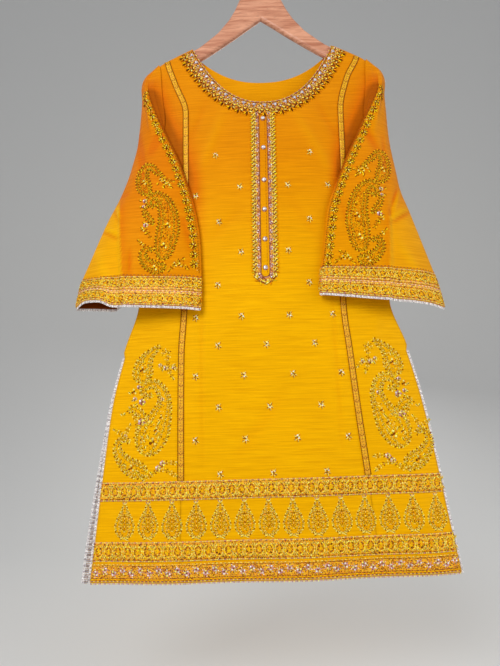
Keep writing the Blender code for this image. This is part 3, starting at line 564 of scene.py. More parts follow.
def pocket_shade(x, down):
    """Painted shade: 1 beside a sleeve's fold, in the pocket that it makes with the body, fading away from
    it.
    """
    shade = np.zeros(np.broadcast(x, down).shape)
    for side, table in SLEEVE_ROWS.items():
        rows = np.array(table)
        inward = np.interp(down, rows[:, 2], side * rows[:, 3]) - side * x
        near = np.exp(-(np.maximum(inward, 0) / POCKET_WIDTH) ** 2)
        shade = np.where(side * x > 0, near, shade)
    beyond_seam = ramp(np.abs(x), *POCKET_SIDE)
    return shade * beyond_seam * ramp(down, *POCKET_TOP) * (1 - ramp(down, *POCKET_FOOT))


def above_waist(down):
    return 1 - ramp(down, *WAIST)


def body_painted_shade(x, down):
    """Painted shade on the front, 0 to 1: darker above the waist, lighter on raised creases and darker in
    their hollows, darkest in the pockets beside the sleeves.
    """
    painted_level = FRONT_PAINTED_SHADE * above_waist(down) - CREASE_PAINTED_SHADE * fold_rise(FRONT_CREASES, x, down)
    return np.clip(painted_level * PAINTED_FOLD_SHADE + POCKET_PAINTED_SHADE * pocket_shade(x, down), 0, MOST_PAINTED_SHADE)


# Painted shade on the back: darker above the waist.
def back_painted_shade(x, down):
    return BACK_PAINTED_SHADE * above_waist(down) + 0 * x


# %% Front panels
FORWARD = (0, -1, 0)
BACKWARD = (0, 1, 0)
half_gap = SEAM_GAP / 2


# The last argument gives the painted shade of each point.
def panel(name, columns, left_x, right_x, drop, place, outward, painted_shade_of=body_painted_shade):
    x, down = panel_grid(columns, left_x, right_x, drop)
    points = place(x, down)
    piece, _ = cloth(
        name + "_cloth", points, np.stack([x, -down], -1), CLOTH, outward, SILK, [name],
        painted_shade=painted_shade_of(x, down),
    )
    return piece, points


front_centre, centre_points = panel(
    "front_centre", np.linspace(0, 1, 61), lambda d: princess_x(-1, d) + half_gap,
    lambda d: princess_x(1, d) - half_gap, FRONT_NECK_DROP, front_point, FORWARD,
)
for side, word in SIDES:
    edges = [
        lambda d, side=side: edge_x(side, d, LACE + SEAM_GAP),
        lambda d, side=side: princess_x(side, d) + side * half_gap,
    ]
    if side > 0:
        edges.reverse()
    panel(
        "front_side_" + word, np.linspace(0, 1, 27), *edges, FRONT_NECK_DROP, front_point, FORWARD
    )

# %% [markdown]
# ## The back
# The back is one piece. Below the slits it hangs a little to the left of the front, so that its lace edge
# shows beside the front's. The same panel function makes it, with the back's own edges, folds and painted
# shade, darker above the waist.

# %% Back panel
def back_edge(side):
    def edge(down):
        return edge_x(side, down, LACE + SEAM_GAP) + BACK_SHIFT * ramp(down, SLIT_TOP, HEM)
    return edge


back_piece, back_points = panel(
    "back", np.linspace(0, 1, 101), back_edge(-1), back_edge(1), BACK_NECK_DROP, back_point, BACKWARD,
    back_painted_shade,
)
print("back points:", back_points.shape)

# %% [markdown]
# ## The sleeves
# Each sleeve is one piece, folded along its inner and outer edges. One depth for each x and down couldn't
# say that, because the cloth lies over itself. So rings of twelve points run from the seam on the front,
# round both folds and back, and a spline joins them both ways. The creases go into the finished grid.

# %% Spline through rows of points
def spline(points, spans):
    """Smooth curve through points[0], points[1], ..., each of which may be a whole row of points."""
    ends = [points[0] * 2 - points[1], *points, points[-1] * 2 - points[-2]]
    found = []

    def stride(a, b):
        return np.sqrt(np.maximum(1e-6, np.linalg.norm(b - a, axis=-1, keepdims=True)))

    for k, steps in enumerate(spans):
        p0, p1, p2, p3 = ends[k:k + 4]
        a, b, c = stride(p0, p1), stride(p1, p2), stride(p2, p3)
        m1 = (p2 - p1) + ((p1 - p0) / a - (p2 - p0) / (a + b)) * b
        m2 = (p2 - p1) + ((p3 - p2) / c - (p3 - p1) / (b + c)) * b
        for s in range(steps):
            t = s / steps
            start = p1 * (2 * t**3 - 3 * t**2 + 1) + m1 * (t**3 - 2 * t**2 + t)
            found.append(start + p2 * (-2 * t**3 + 3 * t**2) + m2 * (t**3 - t**2))
    found.append(points[-1])
    return np.array(found)


# %% Rings of a sleeve
def front_depth(x, down, side):
    """Depth of the body's front under a sleeve. Outside the side seam it is that of the seam."""
    inside = np.minimum(np.abs(x), np.abs(edge_x(side, down)))
    return depth(side * inside, down, FRONT_FOLDS, 0.6)


def arch(row):
    """A ring over the hanger's arm."""
    seam_d, seam_x, _, _, out_d, out_x, _, _ = row
    sag = out_d - shoulder_down(out_x)
    made = []
    for degrees in ARCH_ANGLES:
        rise = math.sin(math.radians(degrees))
        x = mix(seam_x, out_x, rise)
        down = mix(seam_d, shoulder_down(x) + sag, rise) - sag
        lap = (LAP + 0.0008) * (1 - ramp(abs(x), SLEEVE_HEAD_X + 0.003, 0.207))
        layer = depth(x, down, FRONT_FOLDS, 0.6) * -1 if degrees <= 90 else depth(x, down, BACK_FOLDS, 2.4)
        normal = front_normal(x, down)
        if degrees == 90:
            normal = np.array([0.0, 0.0, 1.0])
        if degrees > 90:
            normal = normal * np.array([1.0, -1.0, 1.0])
        made.append(np.array([x, layer, SHOULDER_Z - down]) + normal * lap - np.array([0, 0, sag]))
    return np.array(made)


def sleeve_ring(row, side, closed, last_open):
    """Control points of one ring of a sleeve, from the seam on the front round to the seam on the back."""
    seam_d, seam_x, fold_d, fold_x, out_d, out_x, swell, radius = row
    under = value(UNDER, 1, fold_d)
    front_y = -front_depth(seam_x, seam_d, side) - (under if closed else LAP)
    back_y = depth(seam_x, seam_d, BACK_FOLDS, 2.4) + LAP
    turned = min(1.0, max(0.0, side * (seam_x - fold_x) / (4 * radius)))
    under_y = -front_depth(fold_x, fold_d, side) - under
    out_y = mix(0.0, -0.0095, ramp(seam_d, 0.20, 0.29))
    middle_x, middle_d = mix(seam_x, fold_x, 0.5), mix(seam_d, fold_d, 0.5)
    reach = abs(out_x - fold_x)
    trim_start = min(radius * 1.2, 0.15 * reach)
    trim_end = min(trim_start + SLEEVE_TRIM, 0.5 * reach)
    front_fold_y = under_y - 2 * radius
    fold_y = under_y - radius
    middle_y = -front_depth(middle_x, middle_d, side) - under
    before_x = mix(mix(seam_x, fold_x, 0.67), fold_x + side * radius * 0.8, turned)
    trim_y = mix(front_fold_y, out_y - radius, 0.15) - swell * 0.35
    points = [
        (seam_x, front_y, seam_d),
        (middle_x, mix(mix(front_y, fold_y, 0.33), middle_y, turned), middle_d),
        (before_x, mix(mix(front_y, fold_y, 0.67), under_y, turned), fold_d),
        (fold_x, fold_y, fold_d),
        (fold_x + side * trim_start, front_fold_y, fold_d),
        (fold_x + side * trim_end, trim_y, mix(fold_d, out_d, trim_end / reach)),
    ]
    for share, rise in ((0.60, 0.9), (0.88, 0.5)):
        y = mix(front_fold_y, out_y - radius, share) - swell * rise * 0.8
        points.append((mix(fold_x, out_x, share), y, mix(fold_d, out_d, share)))
    points.append((out_x, out_y, out_d))
    if closed:
        for share in (0.35, 0.70):
            y = mix(out_y, front_y, 0.6) - 0.0004
            points.append((mix(out_x, seam_x, share), y, mix(out_d, seam_d, share)))
        points.append((seam_x + side * UNDERARM_GAP, front_y, seam_d))
    else:
        for share, inward in ((0.30, 0.62), (0.65, 0.92)):
            points.append((mix(out_x, seam_x, share), mix(out_y, back_y, inward), mix(out_d, seam_d, share)))
        points.append((seam_x + side * 0.002, 0.0010, seam_d) if last_open else (seam_x, back_y, seam_d))
    points = np.array(points, float)
    points[:, 2] = SHOULDER_Z - points[:, 2]
    return points


# %% Creases of the sleeves
# The long crease of each sleeve: down, x. Outside it the cloth turns to the light
LONG_CREASE = {
    -1: [(0.290, -0.2560), (0.324, -0.2533), (0.386, -0.2485), (0.452, -0.2430), (0.510, -0.2385)],
    1: [(0.290, 0.2050), (0.338, 0.2018), (0.400, 0.1965), (0.460, 0.1914), (0.510, 0.1870)],
}
CREASE_TOP = {-1: 0.300, 1: 0.325}
CREASE_RISE, CREASE_FALL = 0.0038, 0.0044      # it stands up, and the cloth outside it drops again
CREASE_INNER, CREASE_OUTER = 0.016, 0.0045     # how wide its two slopes are
# Small creases: from x, from down, to x, to down, half width, rise
SMALL_CREASES = {
    -1: [
        (-0.264, 0.312, -0.2485, 0.350, 0.0034, 0.0030), (-0.288, 0.352, -0.2490, 0.376, 0.0040, 0.0034),
        (-0.268, 0.316, -0.2520, 0.354, 0.0030, -0.0022), (-0.290, 0.358, -0.2500, 0.383, 0.0036, -0.0024),
        (-0.252, 0.300, -0.2360, 0.296, 0.0026, -0.0024), (-0.176, 0.310, -0.140, 0.350, 0.0060, 0.0018),
        (-0.226, 0.180, -0.2120, 0.270, 0.0060, -0.0016), (-0.292, 0.400, -0.2620, 0.470, 0.0090, 0.0016),
        (-0.170, 0.150, -0.205, 0.230, 0.0080, -0.0014), (-0.214, 0.120, -0.190, 0.190, 0.0070, 0.0012),
        (-0.150, 0.330, -0.128, 0.420, 0.0060, -0.0010), (-0.2320, 0.400, -0.2300, 0.455, 0.0030, -0.0016),
    ],
    1: [
        (0.200, 0.362, 0.2410, 0.334, 0.0036, 0.0034), (0.227, 0.303, 0.2090, 0.346, 0.0034, 0.0030),
        (0.202, 0.369, 0.2430, 0.342, 0.0034, -0.0024), (0.223, 0.300, 0.2050, 0.342, 0.0030, -0.0024),
        (0.204, 0.340, 0.2020, 0.362, 0.0026, -0.0026), (0.212, 0.400, 0.2500, 0.470, 0.0090, 0.0016),
        (0.160, 0.150, 0.1960, 0.240, 0.0080, -0.0014), (0.212, 0.130, 0.1860, 0.200, 0.0070, 0.0012),
        (0.120, 0.330, 0.1400, 0.400, 0.0060, -0.0010), (0.2060, 0.200, 0.2040, 0.300, 0.0040, -0.0012),
    ],
}
CUFF_LIFT = {-1: (-0.288, 0.024, 0.0085), 1: (0.236, 0.026, 0.0010)}   # middle x, half width, height
CUFF_LIFT_ROWS = 0.050
WAVE_EDGE = (0.044, 0.026)                # inside the wave's middle, where its dark opening begins
CUFF_FLARE = 0.0065                       # the outer edge swings out at the cuff
FLARE_ACROSS, FLARE_TOP = (-0.020, 0.075), 0.36
HEM_OF_SLEEVE = 0.500
# The layers behind the cuff's front end higher, except behind the left wave
BACK_LIFT, BACK_LIFT_ROWS = 0.011, 0.060
# Painted shade: the sleeve's front inside the long crease is darker, the strip outside it lighter, and its
# hidden back and its layer on the body get a fixed painted shade.
SLEEVE_PAINTED_SHADE = {-1: 0.84, 1: 0.68}         # how deep each sleeve is inside its long crease
OUTER_PAINTED_SHADE = {-1: 0.20, 1: 0.32}
HIDDEN_PAINTED_SHADE, INNER_PAINTED_SHADE = 0.45, 0.50      # of the sleeve's back, and of its layer on the body


# %% Fine grid of a sleeve
def sleeve_points(table, side):
    rings = []
    for k, row in enumerate(table):
        if row[-1] == 0.0:
            rings.append(arch(row))
        else:
            rings.append(sleeve_ring(row, side, k > UNDERARM_ROW, k == UNDERARM_ROW))
    lines = spline(rings, [FINER_DOWN * n for n in SLEEVE_STEPS])
    around = spline(list(lines.transpose(1, 0, 2)), [FINER_ACROSS * n for n in SLEEVE_SPANS])
    points = around.transpose(1, 0, 2).copy()
    inner = points[:, 1:(FOLD_COLUMN - 1) * FINER_ACROSS + 1]
    down = SHOULDER_Z - inner[..., 2]
    over_body = (np.abs(inner[..., 0]) < np.abs(edge_x(side, down))) & (down > 0.10)
    clear = front_depth(inner[..., 0], down, side) + value(UNDER, 1, down)
    inner[..., 1] = np.where(over_body, np.minimum(inner[..., 1], -clear), inner[..., 1])
    return points


def front_layer(points):
    """The part of a sleeve's grid between its inner fold and its outer edge."""
    return points[:, FOLD_COLUMN * FINER_ACROSS:EDGE_COLUMN * FINER_ACROSS + 1]


def past_crease(layer, side):
    """Metres outside the long crease, and how much of the crease there is at that height."""
    down = SHOULDER_Z - layer[..., 2]
    past = side * (layer[..., 0] - value(LONG_CREASE[side], 1, down))
    return past, ramp(down, CREASE_TOP[side] - 0.01, CREASE_TOP[side] + 0.04)


def add_creases(points, side):
    """Creases of the front layer, the wave of the cuff's front edge, and the cuff's flare."""
    layer = front_layer(points)
    edges = np.sin(np.pi * np.linspace(0, 1, layer.shape[1])[None, :]) ** 0.5
    past, strength = past_crease(layer, side)
    rise = CREASE_RISE * np.exp(np.minimum(past, 0) / CREASE_INNER)
    rise = rise - CREASE_FALL * ramp(past, 0, CREASE_OUTER)
    down = SHOULDER_Z - layer[..., 2]
    layer[..., 1] -= (rise * strength + fold_rise(SMALL_CREASES[side], layer[..., 0], down)) * edges
    middle, reach, height = CUFF_LIFT[side]
    near = np.exp(-((layer[..., 0] - middle) / reach) ** 4)
    lift = height * near * ramp(down, down[-1:] - CUFF_LIFT_ROWS, down[-1:])
    layer[..., 2] += lift
    layer[..., 1] -= 0.6 * lift
    down = SHOULDER_Z - points[..., 2]
    outside = side * (points[..., 0] - LONG_CREASE[side][-1][1])
    flare = CUFF_FLARE * ramp(outside, *FLARE_ACROSS)
    points[..., 0] += side * flare * ramp(down, FLARE_TOP, HEM_OF_SLEEVE)
    columns = np.arange(points.shape[1]) / FINER_ACROSS
    hidden = 1 - ramp(columns, 3.0, 6.0) + ramp(columns, EDGE_COLUMN, EDGE_COLUMN + 1)
    if side < 0:
        outer, inner = WAVE_EDGE
        beside_wave = ramp(side * points[..., 0], side * middle - outer, side * middle - inner)
        hidden = hidden * (1 - beside_wave * (columns > EDGE_COLUMN))
    points[..., 2] += BACK_LIFT * hidden * ramp(down, HEM_OF_SLEEVE - BACK_LIFT_ROWS, HEM_OF_SLEEVE)


def sleeve_painted_shade(points, side):
    """Painted shade of a sleeve, 0 to 1. The front inside the long crease is painted darker and the strip
    outside it lighter, with a painted highlight along the crease; small creases are lighter on ridges and
    darker in hollows, the layer on the body takes the pocket's painted shade, and the cuff's inside gets a
    painted shadow.
    """
    down = SHOULDER_Z - points[..., 2]
    layer = front_layer(points)
    past, strength = past_crease(layer, side)
    small = fold_rise(SMALL_CREASES[side], layer[..., 0], front_layer(down))
    small *= CREASE_PAINTED_SHADE * np.where(small < 0, 2.5, 1.0)
    painted_level = SLEEVE_PAINTED_SHADE[side] - 0.20 * ramp(front_layer(down), 0.26, 0.44)
    # Painted shade just inside the long crease, and a painted highlight just outside it.
    inner = painted_level + 0.20 * np.exp(-(past / 0.010) ** 2)
    outer = OUTER_PAINTED_SHADE[side] - 0.20 * np.exp(-(past / 0.006) ** 2)
    creased = mix(inner, outer, ramp(past, -0.0016, 0.0016))
    painted_shade = np.full(points.shape[:2], HIDDEN_PAINTED_SHADE * PAINTED_FOLD_SHADE)
    front_layer(painted_shade)[:] = np.clip(mix(painted_level, creased, strength) - small, 0, 1) * PAINTED_FOLD_SHADE
    fold = FOLD_COLUMN * FINER_ACROSS
    shade = POCKET_PAINTED_SHADE * pocket_shade(points[:, :fold, 0], down[:, :fold])
    painted_shade[:, :fold] = np.clip(INNER_PAINTED_SHADE + shade, 0, MOST_PAINTED_SHADE)
    # Painted shadow inside the cuff: the layers behind its front go to the darkest stop near the edge.
    behind = EDGE_COLUMN * FINER_ACROSS + 2
    painted_cuff_shadow = ramp(down[:, behind:], HEM_OF_SLEEVE - 0.045, HEM_OF_SLEEVE - 0.020)
    painted_shade[:, behind:] = mix(painted_shade[:, behind:], 1.0, painted_cuff_shadow)
    return painted_shade


def arc_lengths(points, axis):
    """Distance along a grid's rows or columns from their first point."""
    steps = np.linalg.norm(np.diff(points, axis=axis), axis=-1)
    start = np.zeros_like(np.take(steps, [0], axis=axis))
    return np.concatenate([start, np.cumsum(steps, axis=axis)], axis=axis)


sleeves = {}
for side, word in SIDES:
    points = sleeve_points(SLEEVE_ROWS[side], side)
    add_creases(points, side)
    flat = np.stack([arc_lengths(points, 1), points[..., 2]], -1)
    piece, normals = cloth(
        "sleeve_%s_cloth" % word, points, flat, CLOTH, FORWARD, SILK, ["sleeve_" + word],
        painted_shade=sleeve_painted_shade(points, side),
    )
    sleeves[side] = (piece, points, normals)
    print(piece.name, points.shape)

# %% [markdown]
# ## Thread work
# Embroidery is thousands of short stitches. Each one here is the smallest round form that Blender's sphere
# operator makes, eight faces, stretched between two points of the cloth. Patterns are drawn flat, in metres
# on the cloth, and the surface function lays every stitch where the cloth is.

# %% One stitch, and the thread's finish
bm = bmesh.new()
bmesh.ops.create_uvsphere(bm, u_segments=4, v_segments=2, radius=1.0)
bmesh.ops.triangulate(bm, faces=bm.faces)
STITCH_VERTS = np.array([vert.co for vert in bm.verts])
STITCH_FACES = np.array([[vert.index for vert in face.verts] for face in bm.faces])
bm.free()
FLAT_STITCH, ROPE_STITCH, KNOT = 0.00035, 0.00045, 0.0005   # how high they stand
print("faces in a stitch:", len(STITCH_FACES))


def thread_material(name, metal, rough):
    made, tree, shader = new_material(name)
    dye = node(tree, "ShaderNodeAttribute", attribute_name="dye")
    at = node(tree, "ShaderNodeTexCoord")
    twist = between(tree, noise(tree, at.outputs["Object"], 1.0, 900.0), 0.98, 1.30)
    feed(tree, shader.inputs, [
        ("Base Color", brightened(tree, dye.outputs["Color"], twist)),
        ("Metallic", metal),
        ("Roughness", rough),
        ("Specular IOR Level", 0.2),
        ("Specular Tint", (1.0, 0.75, 0.30, 1)),
    ])
    return made


ZARI = thread_material("gold_embroidery", 0.04, 0.42)
COTTON = thread_material("edging_lace", 0.0, 0.75)


# %% Gather stitches and make them
class Threads:
    """Stitches drawn on one surface. surface(coords, lift) gives points and normals."""

    def __init__(self, surface, lift):
        self.surface = surface
        self.lift = lift
        self.rows = []

    def stitch(self, starts, ends, width, shades, height=FLAT_STITCH):
        starts, ends = np.atleast_2d(starts), np.atleast_2d(ends)
        count = len(starts)
        dyes = np.resize(np.atleast_2d(shades), (count, 3))
        sizes = np.column_stack([np.full(count, width), np.full(count, height)])
        self.rows.append(np.column_stack([starts, ends, sizes, dyes]))

    def laid(self):
        rows = np.concatenate(self.rows)
        starts, normals = self.surface(rows[:, 0:2], self.lift)
        ends, _ = self.surface(rows[:, 2:4], self.lift)
        along = unit(ends - starts)
        across = unit(np.cross(normals, along))
        up = np.cross(along, across)
        middle = (starts + ends) / 2
        half = np.linalg.norm(ends - starts, axis=1)[:, None] / 2
        points = middle[:, None] + STITCH_VERTS[None, :, 0:1] * (along * half)[:, None]
        points = points + STITCH_VERTS[None, :, 1:2] * (across * rows[:, 4:5] / 2)[:, None]
        points = points + STITCH_VERTS[None, :, 2:3] * (up * rows[:, 5:6])[:, None]
        return points, rows[:, 6:9]


def embroider(name, finish, slot, stands_for, *parts):
    """One mesh of all the stitches of some parts, coloured by the attribute named dye."""
    laid = [part.laid() for part in parts]
    points = np.concatenate([p for p, _ in laid])
    dyes = np.concatenate([d for _, d in laid])
    shade = np.random.default_rng(len(points)).uniform(0.72, 1.25, (len(dyes), 1))
    count, corners = len(points), len(STITCH_VERTS)
    faces = STITCH_FACES[None] + (np.arange(count) * corners)[:, None, None]
    mesh = bpy.data.meshes.new(name)
    mesh.from_pydata(points.reshape(-1, 3).tolist(), [], faces.reshape(-1, 3).tolist())
    layer = mesh.color_attributes.new("dye", "FLOAT_COLOR", "POINT")
    full = np.concatenate([np.clip(dyes * shade, 0, 1), np.ones((count, 1))], 1)
    layer.data.foreach_set("color", np.repeat(full, corners, axis=0).ravel())
    mesh.shade_smooth()
    add_piece(name, mesh, finish, stands_for)
    print(name, "stitches:", count)


# %% [markdown]
# ## Patterns
# All the patterns come from a few things that an embroiderer repeats: a line of chain stitch, leaflets
# along a line, a leaf, a fan of leaves, a flower, and the paisley, a drop with a bent tip. A paisley is
# drawn as a spine with a width at each point, so that one function makes every drop on the garment.

# %% Lines, leaves and flowers
MM = 0.001
chance = np.random.default_rng(7)


def curve(points, steps=8):
    points = [np.array(p, float) for p in points]
    return spline(points, [steps] * (len(points) - 1))


def compass(angles):
    """Flat directions at some angles."""
    return np.stack([np.cos(angles), np.sin(angles)], -1)


def turned(along):
    """Flat directions, each turned by a quarter."""
    return np.stack([-along[..., 1], along[..., 0]], -1)


def straight(start, end, out):
    """A path from start to end at one distance out."""
    return np.array([(start, out), (end, out)], float)


def evenly(path, step):
    """Points at equal steps along a path, with the path's direction at each."""
    path = np.asarray(path, float)
    lengths = arc_lengths(path, 0)
    count = max(2, int(round(lengths[-1] / step)) + 1)
    at = np.linspace(0, lengths[-1], count)
    points = np.column_stack([np.interp(at, lengths, path[:, k]) for k in (0, 1)])
    return points, unit(np.gradient(points, axis=0))


def chain(threads, path, width, shades, step=3.0 * MM):
    points, _ = evenly(path, step)
    reach = (points[1:] - points[:-1]) * 0.15
    threads.stitch(points[:-1] - reach, points[1:] + reach, width, shades)


def rope(threads, path, width, bright, dark, step=2.3 * MM):
    """A twisted line: slanting stitches over a darker line that shows between them."""
    chain(threads, path, width * 1.3, dark, 3.2 * MM)
    points, along = evenly(path, step)
    reach = unit(turned(along) + along * 0.8) * width * 0.62
    threads.stitch(points - reach, points + reach, 2.0 * MM, bright, height=ROPE_STITCH)


def leaflets(threads, path, side, spacing, length, width, shades, gap=0.8 * MM):
    """Short stitches that stand off a line on one side, leaning along it."""
    points, along = evenly(path, spacing)
    away = turned(along) * side
    reach = unit(away + along * 0.6)
    threads.stitch(points + away * gap, points + away * gap + reach * length, width, shades)


def leaf(threads, base, tip, width, shades):
    """Two sides and a vein."""
    base, tip = np.array(base, float), np.array(tip, float)
    along = tip - base
    across = turned(along) / max(1e-9, np.linalg.norm(along)) * width * 0.26
    middle = (base + tip) / 2
    starts = [base + across, base - across, middle - along * 0.25]
    ends = [tip + across * 1.5, tip - across * 1.5, middle + along * 0.35]
    threads.stitch(np.array(starts), np.array(ends), width * 0.5, shades)


def fan(threads, base, angle, count, spread, length, width, shades):
    """Leaves that spread from one point. The middle one is the longest."""
    turns = np.linspace(-1, 1, count)
    reach = length * (1 - 0.30 * turns**2)
    ways = compass(angle + turns * spread)
    base = np.array(base, float)
    threads.stitch(base + ways * length * 0.12, base + ways * reach[:, None], width, shades)


def flower(threads, centre, radius, petals, shades, heart=WHITE, turn=0.0):
    ways = compass(turn + np.linspace(0, 2 * np.pi, petals, endpoint=False))
    centre = np.array(centre, float)
    width = min(radius * 0.85, 2.2 * radius * np.sin(np.pi / petals))
    threads.stitch(centre + ways * radius * 0.22, centre + ways * radius, width, shades)
    size = radius * 0.28
    threads.stitch(centre - [size, 0], centre + [size, 0], size * 2, heart, height=KNOT)


def strewn(centres, length, shades):
    """Starts, ends and dyes of stitches that lie any way at some centres."""
    half = compass(chance.uniform(0, np.pi, len(centres))) * length / 2
    dyes = np.array(shades)[chance.integers(0, len(shades), len(centres))]
    return centres - half, centres + half, dyes


def speckle(threads, left, right, top, bottom, count, length, width, shades):
    """Small stitches strewn over a band."""
    centres = np.column_stack([chance.uniform(left, right, count), chance.uniform(top, bottom, count)])
    starts, ends, dyes = strewn(centres, length, shades)
    threads.stitch(starts, ends, width, dyes)


# %% The paisley
def drop_sides(spine, widths, share):
    """Both sides of a drop, from its round end to its tip, at a share of its width."""
    across = turned(unit(np.gradient(spine, axis=0))) * (widths * share / 2)[:, None]
    return spine + across, spine - across


def filling(threads, place, spine, widths, spacing, length, shades):
    """Small stitches strewn inside a drop, as close as spacing says."""
    strides = np.linalg.norm(np.gradient(spine, axis=0), axis=1)
    areas = widths * strides
    count = int(areas.sum() / spacing**2)
    pick = chance.choice(len(spine), count, p=areas / areas.sum())
    along = unit(np.gradient(spine, axis=0))[pick]
    centres = spine[pick] + turned(along) * (chance.uniform(-0.44, 0.44, count) * widths[pick])[:, None]
    centres = centres + along * (chance.uniform(-0.5, 0.5, count) * strides[pick])[:, None]
    starts, ends, dyes = strewn(centres, length, shades)
    threads.stitch(place(starts), place(ends), 1.2 * MM, dyes)


def paisley(threads, rows, place, style, leaf_length=4.2 * MM, spacing=2.9 * MM):
    """rows are x, down and width in millimetres, from the round end to the tip."""
    table = curve(np.array(rows, float) * MM, 6)
    spine, widths = table[:, :2], np.maximum(table[:, 2], 0)
    leaves, bright, dark, gap = style["leaves"], style["line"], style["under"], 0.4 * MM
    if style["close"]:
        filling(threads, place, spine, widths, style["close"], 2.8 * MM, style["fill"])
    for path, side in zip(drop_sides(spine, widths, 1.0), (1, -1)):
        leaflets(threads, place(path), side * place.turn, spacing, leaf_length, 2.1 * MM, leaves, gap)
        rope(threads, place(path), style["width"], bright, dark)
    keep = widths > 8 * MM
    if keep.sum() > 3:
        for path, side in zip(drop_sides(spine[keep], widths[keep], 0.56), (1, -1)):
            rope(threads, place(path), style["width"] * 0.75, bright, dark, 2.0 * MM)
            leaflets(threads, place(path), side * place.turn, 2.6 * MM, 2.4 * MM, 1.4 * MM, leaves, gap)


BRIGHT = {
    "line": [YELLOW, LEMON, CREAM], "under": (0.50, 0.20, 0.005),
    "leaves": [LEMON, CREAM, OLIVE, CREAM, LEMON, BRONZE],
    "fill": [LEMON, BRONZE, CREAM, OLIVE], "width": 3.6 * MM, "close": 4.2 * MM,
}
DARK = {
    "line": [YELLOW, LEMON, GOLD], "under": (0.15, 0.032, 0.001),
    "leaves": [YELLOW, BRONZE, LEMON, SHADOW, GOLD, BRONZE],
    "fill": [YELLOW, BRONZE, GOLD, SHADOW, LEMON, BRONZE], "width": 2.8 * MM, "close": 2.3 * MM,
}


class Place:
    """Puts a drawing on the cloth: its middle, its scale across and down, and how far it leans."""

    def __init__(self, x, down, across=1.0, along=1.0, lean=0.0):
        self.x, self.down, self.across, self.along, self.lean = x, down, across, along, lean
        self.turn = -1 if across < 0 else 1

    def __call__(self, points):
        points = np.atleast_2d(np.asarray(points, float))
        x = self.x + points[:, 0] * self.across + points[:, 1] * self.lean
        return np.column_stack([x, self.down + points[:, 1] * self.along])


# %% Drawings of the groups
# Each drop: x, down and width in millimetres from the group's middle, round end first.
# Each flower: x, down, radius, and whether it is mauve. Each leaf: base and tip
BODY_GROUP = {
    "drops": [
        [(-2, -46, 0), (-2, -51, 20), (-3, -61, 29), (-1, -76, 24), (8, -91, 12), (24, -104, 2)],
        [
            (3, 66, 0), (6, 60, 28), (11, 49, 41), (19, 30, 46), (29, 8, 30), (34, -15, 17), (29, -32, 13),
            (17, -43, 10), (4, -40, 7), (-2, -31, 5), (5, -23, 3), (13, -26, 2),
        ],
        [(9, 20, 0), (3, 11, 6), (-8, 0, 8), (-18, -5, 6), (-23, -1, 1)],
        [
            (9, 95, 0), (5, 94, 13), (-3, 91, 21), (-17, 85, 22), (-30, 74, 16), (-39, 61, 10),
        (-39, 49, 6),
            (-30, 42, 4), (-20, 47, 2),
        ],
    ],
    "tendrils": [
        [(22, -74), (30, -69), (40, -71), (48, -68), (57, -62)], [(40, -71), (41, -62), (46, -53)],
        [(29, -88), (32, -96), (39, -95), (40, -88), (36, -83), (38, -76)],
        [(-17, 3), (-10, 15), (-8, 27), (-11, 43)], [(-44, 29), (-36, 33), (-27, 37)],
        [(-21, 23), (-25, 30), (-27, 37)], [(8, 103), (18, 97), (27, 91), (38, 91), (47, 95), (55, 100)],
        [(27, 91), (34, 82), (44, 80), (53, 81)],
    ],
    "flowers": [
        (-3, -67, 6.5, False), (-16, -32, 5.5, False), (-8, -39, 4.0, True), (-2, -15, 6.0, True),
        (-14, -20, 4.0, True), (-2, 17, 6.5, True), (9, 15, 4.5, False), (1, 43, 5.0, False),
        (18, 48, 7.5, False),
        (23, 29, 5.0, False), (30, 10, 4.0, False), (31, -18, 3.5, True), (-15, 87, 6.5, False),
        (34, 81, 5.0, True),
        (27, 88, 5.0, True), (35, -68, 4.5, True), (26, -73, 3.5, True), (48, -68, 3.5, True),
        (-27, 37, 3.0, True),
    ],
    "leaves": [
        ((57, -62), (62, -57)), ((46, -53), (49, -47)), ((44, -70), (52, -74)), ((32, -70), (28, -62)),
        ((-44, 29), (-49, 25)), ((-21, 23), (-18, 17)), ((55, 100), (61, 104)), ((53, 81), (60, 80)),
        ((18, 97), (14, 92)), ((8, 103), (1, 107)), ((-33, 6), (-37, 1)), ((-33, 6), (-28, 1)),
        ((23, 25), (30, 14)), ((20, 40), (26, 32)), ((12, 44), (8, 36)), ((-20, -28), (-26, -33)),
        ((-14, -20), (-21, -17)), ((-2, 24), (-8, 30)), ((3, 24), (8, 30)), ((6, 52), (4, 59)),
        ((25, 46), (29, 38)),
        ((-2, -8), (4, -14)), ((-9, -14), (-14, -10)), ((12, 20), (17, 14)), ((-3, -76), (-2, -84)),
        ((2, -62), (6, -70)), ((-8, -60), (-12, -68)), ((-22, 84), (-29, 79)), ((-10, 91), (-2, 94)),
    ],
}
